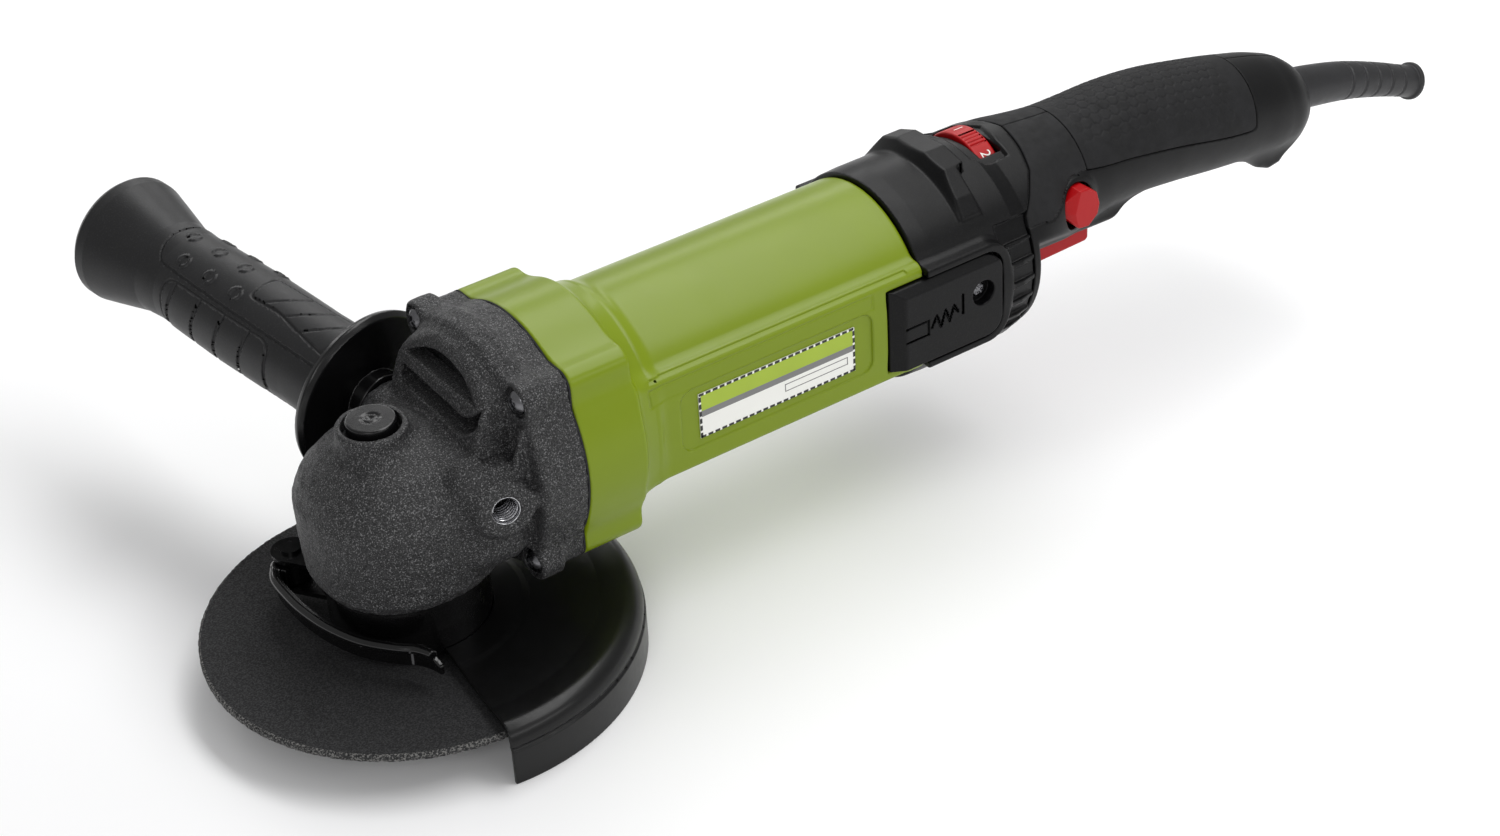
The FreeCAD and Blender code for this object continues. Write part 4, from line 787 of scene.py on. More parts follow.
def build_label():
    """A plain plate: green band, grey stripe, white field with an empty frame, and a dashed border."""
    low, high = span("rating_plate")
    face = low[1]
    points, faces, marks = [], [], []
    border, frame_width = 0.75, 0.28

    def patch(x0, x1, z0, z1, lift, mark):
        before = len(faces)
        plain_box(points, faces, (x0, face - lift, z0), (x1, face + 0.1, z1))
        marks.extend([mark] * (len(faces) - before))

    left, right = low[0] + border, high[0] - border
    bottom, top = low[2] + border, high[2] - border
    plain_box(points, faces, low, high)
    marks.extend([0] * len(faces))
    band, stripe = bottom + (top - bottom) * 0.62, bottom + (top - bottom) * 0.47
    patch(left, right, band, top, 0.03, 1)
    patch(left, right, stripe, band, 0.03, 2)
    dash, gap = 1.7, 0.75
    for x in np.arange(low[0] + 0.1, high[0] - dash, dash + gap):
        patch(x, x + dash, top, high[2], 0.04, 3)
        patch(x, x + dash, low[2], bottom, 0.04, 3)
    for z in np.arange(low[2] + 0.1, high[2] - dash, dash + gap):
        patch(low[0], left, z, z + dash, 0.04, 3)
        patch(right, high[0], z, z + dash, 0.04, 3)
    x0, x1, z0, z1 = right - 25, right - 2, stripe - 3.9, stripe - 1.3
    patch(x0, x1, z0, z0 + frame_width, 0.035, 2)
    patch(x0, x1, z1 - frame_width, z1, 0.035, 2)
    patch(x0, x0 + frame_width, z0, z1, 0.035, 2)
    patch(x1 - frame_width, x1, z0, z1, 0.035, 2)
    made = mesh_object("rating_plate_print", points, faces, None, marks)
    made.data.polygons.foreach_set("use_smooth", np.zeros(len(faces), bool))
    for material in (WHITE, LABEL_GREEN, LABEL_GREY, LABEL_BLACK):
        made.data.materials.append(material)
    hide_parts("rating_plate")
    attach(made, "housing")


# ---------------------------------------------------------------- rear housing, brush covers and dial

# how far back the rear housing reaches along X, for each angle from the top in degrees
SEAM = ([0, 20, 35, 50, 58, 64, 180], [221.5, 219.5, 217.3, 212.0, 208.6, 208.0, 208.0])


def seam_at(y, height):
    """Where the rear housing ends and the handle begins, along X."""
    return np.interp(np.degrees(np.abs(np.arctan2(y, height))), *SEAM)


def build_rear_housing():
    dial_low, dial_high = span("speed_dial")
    dial = middle("speed_dial")
    dial_radius = (dial_high - dial_low)[1] / 2
    front = REAR_FRONT
    radius, rim_radius = 33.8, 32.6

    def ridge(p, away):
        """The lug across the top: its front face leans back, and its near end is a shorter block."""
        x, y, z = p.T
        height = z - MOTOR_Z
        section = outline(y, height, [(-25, 20), (-25, 24), (-21, 28.6), (-13.3, 34.9), (-4, 36.9),
                                      (10, 36.3), (17.6, 33.4), (22.5, 26), (24, 20)], 0.6)
        front_face = (185.0 + (away - radius) * 0.85 - x) * 0.76
        rear_face = x - 196.0 + 3.0 * np.clip((-12.8 - y) / 1.0, 0, 1)
        return shared(0.6, section, front_face, rear_face)

    def scoops(p):
        """Shallow air intakes let into the rim below the ridge, on both flanks."""
        x, y, z = p.T
        height = z - MOTOR_Z
        found = np.full(len(p), FAR)
        for sign in (-1, 1):
            for centre, wide, start in ((61.5, 3.4, 195.5), (74.0, 2.6, 198.5), (86.0, 2.5, 199.0),
                                        (98.0, 2.5, 199.0), (110.0, 2.5, 199.0), (122.0, 2.5, 199.0)):
                at = math.radians(sign * centre)
                across = y * math.cos(at) - height * math.sin(at)
                out = y * math.sin(at) + height * math.cos(at)
                floor = 32.7 - (x - start) * 0.10
                scoop = shared(0.5, np.abs(across) - wide, start - x, floor - out)
                found = np.minimum(found, scoop)
        return found

    def field(p):
        x, y, z = p.T
        height = z - MOTOR_Z
        away = np.hypot(y, height)
        side = np.abs(y)
        shell = turned(p, (0, 0, MOTOR_Z), (1, 0, 0),
                       [(front - 6, 33.2), (front + 6, radius), (203, radius), (208.0, rim_radius),
                        (214, rim_radius)], 0)
        shell = shared(0.8, shell, x - 208.0)
        hood = shared(0.8, away - rim_radius, (x - seam_at(y, height)) * 0.9, 200.0 - x)
        body = joined(0.6, shell, hood)
        tongue = rectangle(x - 164.0, height, 34.0, 17.4, 9.0)
        body = joined(1.4, body, shared(1.2, tongue, side - 33.6))
        body = joined(0.7, body, ridge(p, away))
        body = without(0.5, body, scoops(p))
        window = outline(x, y, [(201.6, 17.5), (209.8, 17.0), (214.6, 10.6), (217.2, 4.4), (214.8, -5.4),
                                (214.2, -12.4), (204.6, -13.0), (201.6, -9.4)], 0.8)
        chamfer = np.clip((32.6 - away) * 0.9, 0, 1.0)
        body = without(0.5, body, shared(0, window + chamfer, 75 - z, 31.7 - away))
        well = rectangle(x - 159.6, height, 35.0, 14.9, 6.5)
        body = without(0.5, body, shared(0, well, 29.6 - side))
        thicker = 1.3 * np.clip((x - 186.0) / 4.0, 0, 1)
        hollow = shared(0, away - 30.7 + thicker, x - 225, front - 6 - x)
        body = without(0, body, hollow)
        slot_front, slot_back = dial_low[0] - 0.3, dial_low[0] + 7.7
        slot = rod(p, (0, dial[1], dial[2]), (1, 0, 0), slot_front, slot_back, dial_radius + 0.4)
        opening = block(p, (slot_front, -8.8, 78), (slot_back, 14.5, 98), 0.6)
        body = without(0.3, body, slot, opening)
        return shared(0.4, body, front - x)

    piece("rear_housing", "housing", field, 0.56, [BLACK])


def build_brush_covers():
    screw_x, _, screw_z = middle("brush_cover_screws")
    spring = [(166.6, 58.2), (168.4, 61.6), (170.0, 57.2), (171.8, 62.2), (173.4, 58.0), (175.0, 62.6),
              (176.6, 60.0)]
    for node, side in (("brush_cover_left", -1), ("brush_cover_right", 1)):
        low, high = span(node)

        def field(p):
            x, y, z = p.T
            depth = side * y
            height = z - MOTOR_Z
            half = (high[2] - low[2]) / 2
            flat = rectangle(x - (low[0] + high[0]) / 2 + 4, height, (high[0] - low[0]) / 2 + 4, half, 6.0)
            flat = shared(0, flat, low[0] - x)
            upper = (height - half + 2.6) * 0.62 + (depth - 34.2) * 0.78
            ends = (low[0] + 4.5 - x) * 0.5 + (depth - 34.2) * 0.86
            body = shared(0.4, flat, depth - 34.2, upper, ends)
            body = shared(0, body, 30.0 - depth)
            icon = np.abs(rectangle(x - 160.6, z - 58.6, 4.8, 2.4, 0.2)) + 9.0 * (x < 157.0)
            icon = np.minimum(icon, line_distance(x, z, spring))
            icon = np.minimum(icon, line_distance(x, z, [(178.4, 58.6), (178.4, 65.0)]))
            body = body + groove(icon, 0.9, 0.8) * (depth > 32.5)
            hole = np.hypot(x - screw_x, z - screw_z)
            body = without(0.5, body, np.maximum(hole - 4.1, 30.9 - depth))
            return without(0, body, hole - 1.7)

        piece(node, "housing", field, 0.34, [BLACK])


def digit_mesh(text, size):
    """A digit's outline as a flat mesh, from the built-in typeface."""
    curve = bpy.data.curves.new("digit", "FONT")
    curve.body = text
    curve.size = size
    curve.align_x = "CENTER"
    curve.align_y = "CENTER"
    curve.resolution_u = 6
    holder = bpy.data.objects.new("digit", curve)
    bpy.context.scene.collection.objects.link(holder)
    bpy.context.view_layer.update()
    mesh = bpy.data.meshes.new_from_object(holder.evaluated_get(bpy.context.evaluated_depsgraph_get()))
    points = np.array([v.co for v in mesh.vertices])
    faces = [tuple(face.vertices) for face in mesh.polygons]
    bpy.data.objects.remove(holder)
    bpy.data.meshes.remove(mesh)
    return points, faces


def build_dial():
    low, high = span("speed_dial")
    centre = middle("speed_dial")
    radius = (high[1] - low[1]) / 2
    wide = 7.4
    mid_x = low[0] + wide / 2
    spacing = math.radians(51.4)
    first = math.radians(13.0)

    def field(p):
        x, y, z = p.T
        away = np.hypot(y - centre[1], z - centre[2])
        angle = np.arctan2(y - centre[1], z - centre[2]) - first
        body = shared(0.8, away - radius, between(x, low[0], low[0] + wide))
        offset = angle % spacing - spacing / 2
        lines = np.full(len(p), np.inf)
        for number in range(-2, 3):
            lines = np.minimum(lines, np.abs(offset - math.radians(5.2) * number) * radius)
        body = body + groove(lines, 0.75, 0.45) * (np.abs(x - mid_x) < 2.9)
        hub = rod(p, (0, centre[1], centre[2]), (1, 0, 0), low[0], high[0], 3.0)
        body = without(0.4, body, shared(0, away - radius + 2.6, 4 - away, low[0] + 2.0 - x))
        return joined(0, body, hub)

    piece("speed_dial", "dial", field, 0.33, [RED])
    points, faces = [], []
    for number in range(1, 8):
        flat, made_of = digit_mesh(str(number), 5.0)
        base = len(points)
        for u, v, _ in flat:
            angle = first - spacing * (number - 1) - u / radius
            reach = radius + 0.06
            sideways, upward = reach * math.sin(angle), reach * math.cos(angle)
            points.append((mid_x + v, centre[1] + sideways, centre[2] + upward))
        faces += [tuple(base + i for i in face) for face in made_of]
    mesh = bpy.data.meshes.new("dial_digits")
    mesh.from_pydata([tuple(c * MM for c in point) for point in points], [], faces)
    mesh.materials.append(WHITE)
    made = bpy.data.objects.new("dial_digits", mesh)
    bpy.context.scene.collection.objects.link(made)
    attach(made, "dial")


# ---------------------------------------------------------------- rear handle

HANDLE_LINE = [(208.3, 60.5), (214, 61.2), (222, 63.8), (230, 66.9), (240, 70.0), (252, 71.6), (266, 72.3),
               (285, 70.8), (300, 68.4), (318, 65.4), (332, 62.8), (340, 61.4), (345.5, 60.8), (350, 60.6)]
HANDLE_RADIUS = [(208.3, 32.4), (214, 31.8), (222, 29.2), (230, 25.4), (240, 21.6), (252, 20.1), (266, 19.7),
                 (285, 19.6), (300, 19.2), (318, 18.2), (332, 16.8), (340, 14.6), (345.5, 10.6), (350, 6.0)]
# height of the soft skin's lower edge along the flanks
SKIN_LINE = [(208, 74.5), (214, 74.0), (219, 73.2), (222, 74.0), (225.3, 76.3), (231.3, 80.0), (236, 79.6),
             (246.2, 77.6), (260.4, 75.9), (276, 73.5), (311, 66.8), (322, 66.0), (330, 66.0)]
SKIN_FRONT = 240.0
HANDLE_SCREWS = ((272.0, 60.0), (312.0, 56.5), (331.0, 46.5))
TRIGGER_PIVOT = (231.6, 49.0)


def handle_body(p):
    """The handle's round body, which rises from the motor's width to a grip."""
    x, y, z = p.T
    centre = curve_through(x, HANDLE_LINE)
    radius = curve_through(x, HANDLE_RADIUS)
    gap = (curve_through(x + 0.5, HANDLE_RADIUS) - curve_through(x - 0.5, HANDLE_RADIUS))
    return (np.hypot(y, z - centre) - radius) / np.sqrt(1 + gap * gap)


def build_handle():
    low, high = span("handle_left")
    back = high[0]
    trigger_low, trigger_high = span("trigger")
    button = middle("lock_on_button")
    sleeve_axis = np.array([0.987, 0, -0.160])
    skin_end = 313.0

    def skin_zone(p):
        """The soft skin's share of the outside: all above a line along each flank."""
        x, y, z = p.T
        return shared(2.0, curve_through(x, SKIN_LINE) - z, x - skin_end - (z - 66.0) * 0.1)

    def outside(p):
        x, y, z = p.T
        side = np.maximum(np.abs(y) - 4.2, 0)
        under = (46.5 - 0.045 * (x - 230.0) + 0.797 * side - z) * 0.782
        chin = shared(1.2, under, np.abs(y) - 11.0, z - 62.0, 214.0 - x, (x - 210.0 - z) * 0.7)
        body = without(1.5, handle_body(p), shared(1.0, -under, 211.5 - x, x - 262.0))
        body = joined(3.0, body, chin)
        hook = outline(x, z, [(312.0, 60), (318.0, 50.6), (325.5, 42.6), (330.5, 40.4), (335.5, 41.2),
                              (343.4, 50.0), (345.0, 62.0), (332.0, 66.0)], 2.0)
        body = joined(5.0, body, shared(3.0, hook, np.abs(y) - 8.5))
        return shared(2.0, body, x - back), under

    def shell(p):
        x, y, z = p.T
        body, under = outside(p)
        ring = np.hypot(x - button[0], z - button[2])
        boss = rod(p, (button[0], 0, button[2]), (0, -1, 0), 10, 22.0, 9.0, 1.6)
        body = joined(2.5, body, boss)
        body = body + groove(np.abs(skin_zone(p)), 0.9, 0.35)
        room = shared(0, handle_body(p) + 2.2, under + 2.2, x - 338)
        body = without(0, body, room)
        mouth = block(p, (trigger_low[0] - 0.8, -4.7, 30), (trigger_high[0] + 0.9, 4.7, 58))
        body = without(0.5, body, mouth)
        body = without(0.5, body, np.maximum(ring - 7.35, y))
        body = without(0.4, body, rod(p, (334.0, 0, 62.9), sleeve_axis, 0, 20, 7.7))
        seat = shared(0, skin_zone(p) - 0.15, SKIN_FRONT - 0.15 - x, -(handle_body(p) + 1.6))
        body = without(0.3, body, seat)
        for x0, z0 in HANDLE_SCREWS:
            body = without(0.4, body, rod(p, (x0, 10.0, z0), (0, 1, 0), 0, 20, 3.1))
        return shared(0.6, body, (seam_at(y, z - MOTOR_Z) + 0.25 - x) * 0.9, low[0] - x)

    def half(side):
        """One side of the handle, up to the joint down its middle."""
        return lambda p: shared(0.35, shell(p), 0.06 - side * p[:, 1])

    finishes = [HANDLE, GRIP]
    piece("handle_left", "housing", half(-1), 0.55, finishes, zones=[skin_zone])
    piece("handle_right", "housing", half(1), 0.55, finishes, zones=[skin_zone])

    def hexagons(u, v, pitch):
        """Distance from the nearest edge of a honeycomb, for cells pitch across."""
        a, b = pitch, pitch * math.sqrt(3)
        u1, v1 = (u + a / 2) % a - a / 2, (v + b / 2) % b - b / 2
        u2, v2 = u % a - a / 2, v % b - b / 2
        near = u1 * u1 + v1 * v1 < u2 * u2 + v2 * v2
        cu, cv = np.abs(np.where(near, u1, u2)), np.abs(np.where(near, v1, v2))
        return pitch / 2 - np.maximum(cu, cu / 2 + cv * math.sqrt(3) / 2)

    def skin(p):
        x, y, z = p.T
        body = handle_body(p)
        centre = curve_through(x, HANDLE_LINE)
        around = np.arctan2(y, z - centre) * 19.6
        patch = shared(3.0, curve_through(x, SKIN_LINE) + 2.5 - z, 240.0 - x, x - 310.0)
        inside = np.clip(-patch / 8.0, 0, 1)
        body = body + groove(hexagons(x, around, 3.9), 1.0, 0.20) * inside
        shown = shared(0.4, body, skin_zone(p), SKIN_FRONT - x)
        return shared(0, shown, -(handle_body(p) + 1.4))

    piece("soft_grip", "housing", skin, 0.46, [GRIP],
          low=(SKIN_FRONT - 2, -23, 60), high=(326, 23, 96))


def build_lock_on_button():
    """An eight-sided button on the handle's left flank, its face folded along a ridge."""
    low, high = span("lock_on_button")
    centre = middle("lock_on_button")
    face = low[1]
    sides = [(-1.6, 7.0), (2.2, 6.7), (5.7, 4.0), (6.9, -0.3), (6.2, -3.8), (2.4, -6.9), (-1.8, -6.2),
             (-6.8, -1.2), (-6.7, 3.2)]
    ridge = [(-0.6, 9.0), (-3.4, -0.4), (-1.2, -9.0)]

    def field(p):
        x, y, z = p.T
        u, v = x - centre[0], z - centre[2]
        depth = y - face
        left = np.maximum(beside(u, v, ridge[::-1]), 0)
        top = 0.35 + 0.62 * left + 0.05 * u
        body = shared(0.5, outline(u, v, sides, 0.5), (top - depth) * 0.85, depth - 6.4)
        stem = rod(p, (centre[0], 0, centre[2]), (0, 1, 0), face + 6, high[1], 2.5)
        return joined(0.3, body, stem)

    piece("lock_on_button", "lock_on", field, 0.3, [RED])


def build_trigger():
    low, high = span("trigger")
    blade = [(227.8, 46.0), (228.1, 40.3), (253.4, 41.0), (254.4, 42.0), (254.4, 46.0), (248, 48.0),
             (238.5, 50.0), (236, 51.8), (228.7, 51.8)]

    def field(p):
        x, y, z = p.T
        flat = outline(x, z, blade, 0.7)
        body = shared(0.9, flat, np.abs(y) - (high[1] - low[1]) / 2 + 0.05)
        hole = np.hypot(x - TRIGGER_PIVOT[0], z - TRIGGER_PIVOT[1]) - 1.6
        return without(0.2, body, hole)

    piece("trigger", "trigger", field, 0.33, [RED])


SLEEVE_LINE = [(338.0, 62.9), (354.0, 60.6), (372.0, 56.6), (388.4, 51.2), (404.2, 45.1), (408.0, 43.8)]
SLEEVE_RADIUS = [(338.0, 7.4), (354.0, 7.1), (372.0, 6.6), (388.4, 6.1), (406.0, 5.6)]


def build_sleeve():
    low, high = span("strain_relief")
    lean = math.radians(-18.5)
    out = np.array([math.cos(lean), 0, math.sin(lean)])
    mouth = np.array([404.2, 0, 45.1])

    def field(p):
        x, y, z = p.T
        centre = curve_through(x, SLEEVE_LINE)
        radius = curve_through(x, SLEEVE_RADIUS)
        tilt = math.cos(math.radians(14))
        away = np.hypot(y, (z - centre) * tilt)
        end = (p - mouth) @ out
        body = shared(0.4, away - radius, end - 0.4, low[0] - x)
        for number in range(5):
            body = body + groove(end + 9.0 + 7.0 * number, 1.6, 0.35) * (x > 366)
        ring = rod(p, mouth, out, -1.4, 0.6, 6.5, 0.6)
        body = joined(0.8, body, ring)
        return without(0.5, body, away - 4.1)

    piece("strain_relief", "housing", field, 0.42, [rubber("sleeve_rubber", 40, 0.42)])


# ---------------------------------------------------------------- side handle

def build_side_handle():
    axis, seat = side_axis(1)
    up = np.array([0, 0, 1.0]) - axis * axis[2]
    up /= np.linalg.norm(up)
    across = np.cross(axis, up)
    core = 15.2
    profile = [(0.4, 9.5), (5.0, 9.5), (5.8, 25.6), (7.4, 27.2), (9.4, 26.4), (10.4, 17.5), (12.5, 15.8),
               (30, 15.3), (60, 15.6), (78, 15.1), (88, 14.7), (96, 15.4), (108, 18.6), (115, 20.4),
               (118.6, 20.4), (121.2, 18.4)]
    arc = math.radians(1) * core

    def raised(body, shape, lift, line):
        """Lift the surface inside a shape, behind a groove along its edge."""
        body = body - lift * np.clip(0.5 - shape / 0.8, 0, 1)
        return body + groove(np.abs(shape), 1.1, line)

    def pattern(body, s, phi):
        """A long panel with studs at its outer end, and a veined leaf over its inner end."""
        v = phi * arc
        top = np.interp(s, [18, 58, 92], [44, 56, 56]) * arc
        bottom = -np.interp(s, [18, 56, 71, 80, 89, 92], [46, 45, 44, 43, 41, 30]) * arc
        leaf_low = -np.interp(s, [15, 18, 29, 40, 51, 53], [34, 31, 25, 18, 20, 19]) * arc
        leaf_high = np.interp(s, [15, 30, 44, 52], [30, 28, 24, 22]) * arc
        leaf = shared(2.0, leaf_low - v, v - leaf_high, 17.0 - s, s - 52.5)
        panel = shared(4.0, bottom - v, v - top, 14.5 - s, s - 92.0)
        body = raised(body, panel, 0.35, 0.55)
        body = raised(body, leaf, 0.3, 0.5)
        for start in (22.0, 32.0, 41.5):
            vein = (s - start + 0.9 * v - 0.03 * v ** 2) * 0.74
            body = body + groove(vein, 1.0, 0.4) * np.clip(-leaf, 0, 1)
        for row, shift in ((8.0, 6.0), (-27.0, 0.0), (43.0, 0.0)):
            for number in range(3):
                aside, ahead = v - row * arc, s - 57.0 - shift - 12.0 * number
                away = np.hypot(aside, ahead)
                split = np.abs(aside * 0.3 + ahead * 0.95)
                body = body - 0.45 * np.clip(1 - ((away - 1.9) / 0.75) ** 2, 0, 1) * (split > 0.7)
        return body

    def lower_pattern(body, s, phi):
        """The panel on each flank, crossed by slanted grooves."""
        v = phi * arc
        lower = shared(5.0, np.abs(v) - 10.0, 36.0 - s, s - 84.0)
        body = raised(body, lower, 0.3, 0.5)
        for start in (44.9, 56.1, 66.9, 78.6):
            body = body + groove(s - start - 2.2 + 0.22 * v, 1.3, 0.7) * np.clip(-lower, 0, 1)
        return body

    def field(p):
        q = p - seat
        s = q @ axis
        u, v = q @ across, q @ up
        away = np.hypot(u, v)
        phi = np.degrees(np.arctan2(u, v))
        body = turned(p, seat, axis, profile, 0.7)
        body = shared(0.6, body, s - 122.0 + away ** 2 / 420.0)
        gripped = (s > 14) & (s < 100)
        folded = np.where(np.abs(phi) < 90, phi, np.sign(phi) * 180.0 - phi)
        body = np.where(gripped, pattern(body, s, folded), body)
        flank = np.where(phi < 0, phi + 90.0, 90.0 - phi)
        body = np.where(gripped, lower_pattern(body, s, flank), body)
        return without(0.3, body, shared(0, away - 4.05, s - 18))

    def disc_zone(p):
        return (p - seat) @ axis - 10.6

    piece("side_handle_grip", "housing", field, 0.5, [LIT_BLACK_SIDE, BLACK_GLOSS],
          zones=[disc_zone])


# ---------------------------------------------------------------- guard, clamp and wheel

def build_guard():
    low, high = span("guard_shell")
    radius = high[0]
    top = high[2]
    thick = 1.6
    band = span("guard_band")[1][0]
    start = math.radians(-96.5)
    edge = 5.5

    def field(p):
        x, y, z = p.T
        away = np.hypot(x, y)
        dome = outline(away, z, [(-FAR, low[2] - 40), (radius - 0.5, low[2] - 40), (radius - 0.5, top - 0.4),
                                 (-FAR, top - 0.4)], edge)
        crown = 0.4 * np.clip(1 - ((away - radius + edge + 1.5) / 6.0) ** 2, 0, 1)
        collar_step = 0.4 * np.clip((33.5 - away) / 2.0 + 0.5, 0, 1)
        skirt = 0.5 * np.clip((top - edge - 1.2 - z) / 0.8 + 0.5, 0, 1)
        roll = -0.35 * np.clip(1 - ((z - top + edge + 1.2) / 0.7) ** 2, 0, 1) * (away > radius - 3)
        outer = dome - np.maximum(crown, collar_step) - skirt - roll
        sheet = shared(0.3, outer, -(outer + thick))
        behind = -math.sin(start) * x + math.cos(start) * y
        sheet = shared(0.25, sheet, -behind, low[2] - z)
        return without(0, sheet, away - band - 0.1)

    piece("guard_shell", "guard", field, 0.52, [GUARD_PAINT])


def build_disc():
    """The grinding disc, whose pressed rim is slightly ragged."""
    low, high = span("grinding_disc")
    radius = high[0]
    bore = 11.1

    def field(p):
        x, y, z = p.T
        away = np.hypot(x, y)
        body = rectangle(away, z - (low[2] + high[2]) / 2, radius - 0.15, (high[2] - low[2]) / 2 - 0.08, 0.35)
        rim = np.clip((away - radius + 2.0) / 2.0, 0, 1)
        body = body + 0.13 * lumps(p, 0.9) * rim - 0.03 * lumps(p, 1.6)
        return without(0.2, body, away - bore)

    piece("grinding_disc", "spindle", field, 0.62, [GRIT])


def build_clamp_lever():
    """The clamp's strap: a strip on edge with a rolled lip, from its eye round the neck to a flick."""
    low, high = span("clamp_lever")
    pivot = middle("clamp_pin")
    base, top = low[2], high[2]
    route = smooth_line([(-26.2, 30.6), (-29.2, 25.0), (-30.0, 16.0), (-29.8, 7.0), (-28.0, -4.0),
                         (-24.0, -15.0), (-18.0, -23.5), (-13.6, -28.0), (-11.4, -32.0), (-10.4, -35.6)])
    flick = route[-1]

    def field(p):
        x, y, z = p.T
        out = -beside(x, y, route)
        taper = np.clip((y - flick[1]) / 6.0, 0, 1)
        strap = shared(0.4, np.abs(out) - 0.8, base - z, z - base - 3.0 - (top - base - 3.5) * taper)
        lip = np.hypot(out - 0.9, z - top + 1.4) - 1.4
        strap = joined(0.8, strap, shared(0.3, lip, flick[1] + 1.5 - y))
        hook = (x - pivot[0]) * -0.88 + (y - pivot[1]) * -0.47
        across = (x - pivot[0]) * 0.47 + (y - pivot[1]) * -0.88
        link = shared(0.4, between(hook, 0, 7.0), np.abs(across) - 2.4, between(z, base, top - 0.6))
        away = np.hypot(x - pivot[0], y - pivot[1])
        eye = shared(0.5, away - 5.2, between(z, base, top - 0.6))
        return without(0.3, joined(1.0, strap, link, eye), away - 2.55)

    piece("clamp_lever", "guard_lever", field, 0.34, [CLAMP_PAINT],
          low=(low[0] - 4, -38.5, base - 1), high=(high[0] + 2, high[1] + 1, top + 1))


def build_lock_button():
    low, high = span("lock_button")
    centre = middle("lock_button")
    radius = (high[0] - low[0]) / 2

    def field(p):
        x, y, z = p.T
        away = np.hypot(x - centre[0], y)
        body = rectangle(away, z - (low[2] + high[2]) / 2, radius, (high[2] - low[2]) / 2, 0.6)
        body = body + 0.35 * np.clip(1 - np.abs(away - 2.2) / 0.9, 0, 1) * (z > 80)
        body = body + 0.5 * np.clip(1 - (away / 1.5) ** 2, 0, 1) * (z > 80)
        return without(0, body, rod(p, (span("lock_pin")[0][0] + 1.8, 0, 0), (0, 0, 1), 70, 77.5, 1.85))

    piece("lock_button", "spindle_lock", field, 0.3, [BLACK_GLOSS])


def build_screw_heads():
    """Domed heads with a hexagon socket on the four gearbox screws, and cross-recessed brush cover screws."""
    high = span("gearbox_screws")[1]

    def head(p, base, axis, radius, height, socket):
        """A dome on a base plane, its socket cut from the top."""
        up, away = about(p, base, axis)
        dome = shared(0.5, np.hypot(away, up + 2.2) - radius - 0.55, -up, away - radius, up - height)
        return without(0.15, dome, np.maximum(socket, 0.9 - up))

    def gearbox(p):
        x = p[:, 0]
        body = np.full(len(p), FAR)
        for y0, z0 in screw_places():
            u, v = p[:, 1] - y0, p[:, 2] - MOTOR_Z - z0
            slant = np.maximum(np.abs(u * 0.5 + v * 0.866), np.abs(u * 0.5 - v * 0.866))
            hexagon = np.maximum(np.abs(u), slant) - 1.5
            dome = head(p, (HEAD_BASE, y0, MOTOR_Z + z0), (-1, 0, 0), 4.0, 2.9, hexagon)
            shank = np.maximum(np.hypot(u, v) - 2.3, between(x, HEAD_BASE - 0.6, high[0]))
            body = np.minimum(body, joined(0, dome, shank))
        return body

    piece("gearbox_screws", "housing", gearbox, 0.34, [SCREW],
          low=(24.0, -33, 28), high=high + 1)
    centre_x, _, centre_z = middle("brush_cover_screws")

    def brush(p):
        body = np.full(len(p), FAR)
        u, v = p[:, 0] - centre_x, p[:, 2] - centre_z
        turned_u, turned_v = u * 0.8 + v * 0.6, v * 0.8 - u * 0.6
        cross = np.minimum(np.maximum(np.abs(turned_u) - 0.4, np.abs(turned_v) - 1.6),
                           np.maximum(np.abs(turned_v) - 0.4, np.abs(turned_u) - 1.6))
        for side in (-1, 1):
            dome = head(p, (centre_x, side * 30.7, centre_z), (0, side, 0), 3.1, 1.9, cross)
            shank = np.maximum(np.hypot(u, v) - 1.4, between(side * p[:, 1], 20.0, 31.0))
            body = np.minimum(body, joined(0, dome, shank))
        return body

    piece("brush_cover_screws", "housing", brush, 0.28, [SCREW])


# ---------------------------------------------------------------- floor, light and camera

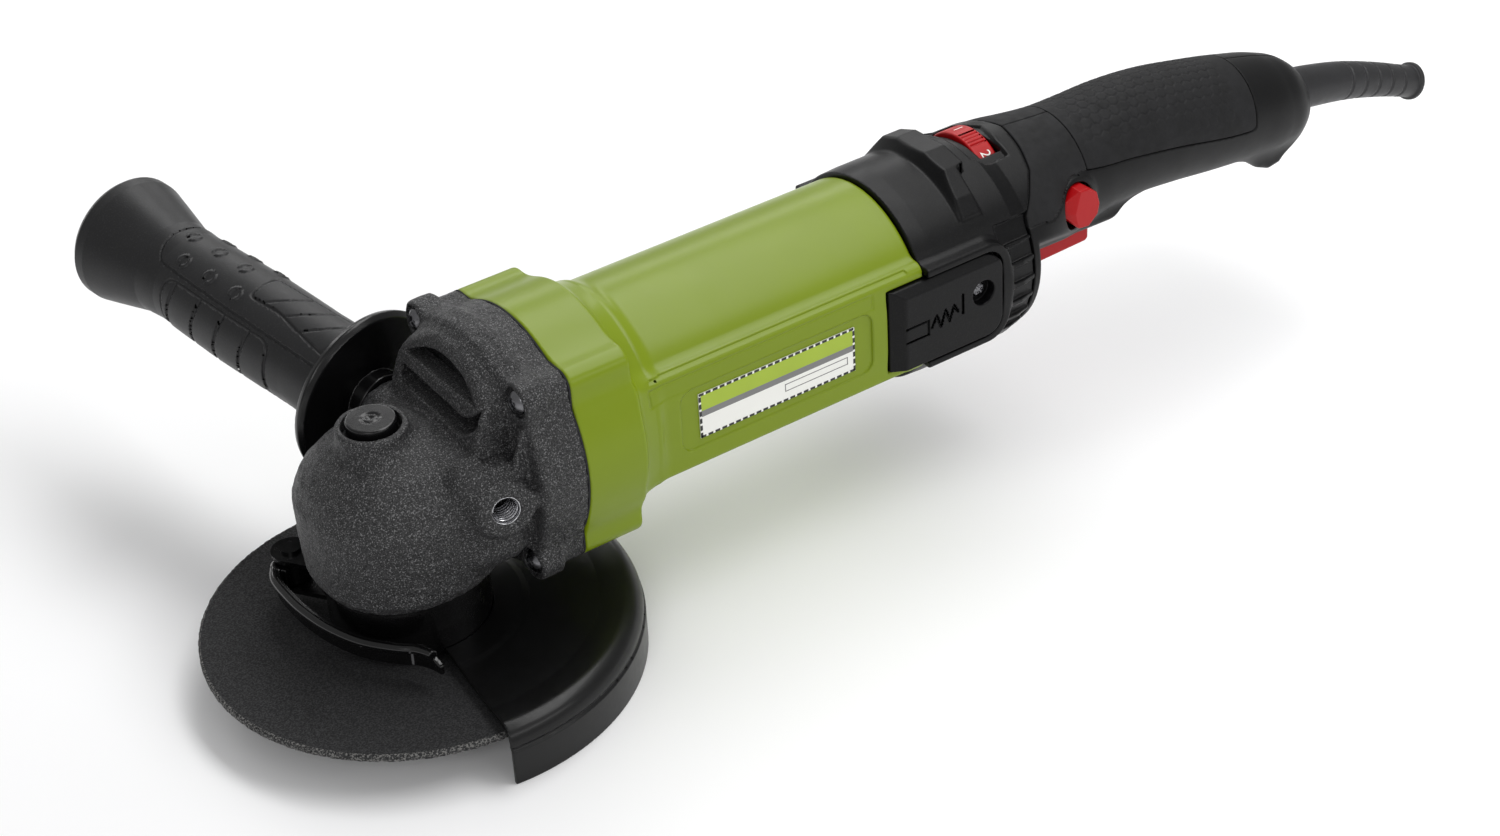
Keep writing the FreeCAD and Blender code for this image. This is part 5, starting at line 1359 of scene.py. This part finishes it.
def set_stage():
    floor_z = cad_low[2]
    n = Nodes("pale_floor")
    tint = n.ramp(n.noise(120.0, 2.0), (0.3, (0.95, 0.95, 0.955)), (0.7, (0.96, 0.96, 0.965)))
    n.finish(tint, Roughness=0.7)
    half = 4.0
    points = [(-half / MM, -half / MM, floor_z / MM), (half / MM, -half / MM, floor_z / MM),
              (half / MM, half / MM, floor_z / MM), (-half / MM, half / MM, floor_z / MM)]
    floor = mesh_object("floor", points, [(0, 1, 2, 3)])
    floor.data.materials.append(n.material)
    world = bpy.data.worlds.new("studio")
    world.use_nodes = True
    world.node_tree.nodes["Background"].inputs["Color"].default_value = (1, 1, 1, 1)
    world.node_tree.nodes["Background"].inputs["Strength"].default_value = 0.40
    bpy.context.scene.world = world
    target = Vector((0.12, 0, 0.05))
    for name, place, size, power in (
            ("overhead_strip", (0.55, 0.02, 1.0), (1.6, 0.42), 10.0),
            ("front_softbox", (-0.75, -0.85, 0.75), (0.6, 0.6), 3.2),
            ("side_softbox", (0.45, -1.1, 0.55), (1.0, 0.22), 2.2),
            ("back_strip", (0.5, 0.95, 0.55), (1.4, 0.18), 3.0)):
        light = bpy.data.lights.new(name, "AREA")
        light.shape = "RECTANGLE"
        light.size, light.size_y = size
        light.energy = power
        holder = bpy.data.objects.new(name, light)
        holder.location = place
        holder.rotation_euler = (target - Vector(place)).to_track_quat("-Z", "Y").to_euler()
        bpy.context.scene.collection.objects.link(holder)
    bpy.context.scene.view_settings.view_transform = "Standard"


def set_camera():
    camera = bpy.data.cameras.new("camera")
    camera.lens = 72.024
    camera.sensor_width = 36.0
    camera.clip_start, camera.clip_end = 0.01, 20.0
    holder = bpy.data.objects.new("camera", camera)
    right = Vector((0.81316528, -0.58005245, -0.04797275))
    up = Vector((0.36028485, 0.43691238, 0.82419803))
    back = right.cross(up)
    turn = Matrix((right, up, back)).transposed()
    holder.matrix_world = Matrix.Translation((-0.29943, -0.63362, 0.54675)) @ turn.to_4x4()
    bpy.context.scene.collection.objects.link(holder)
    bpy.context.scene.camera = holder


# ---------------------------------------------------------------- the whole object

set_camera()
set_stage()
dress_cad_nodes()
build_gear_housing()
build_thread()
build_lock_button()
build_screw_heads()
build_motor_housing()
build_label()
build_rear_housing()
build_brush_covers()
build_dial()
build_handle()
build_lock_on_button()
build_trigger()
build_sleeve()
build_side_handle()
build_guard()
build_disc()
build_clamp_lever()
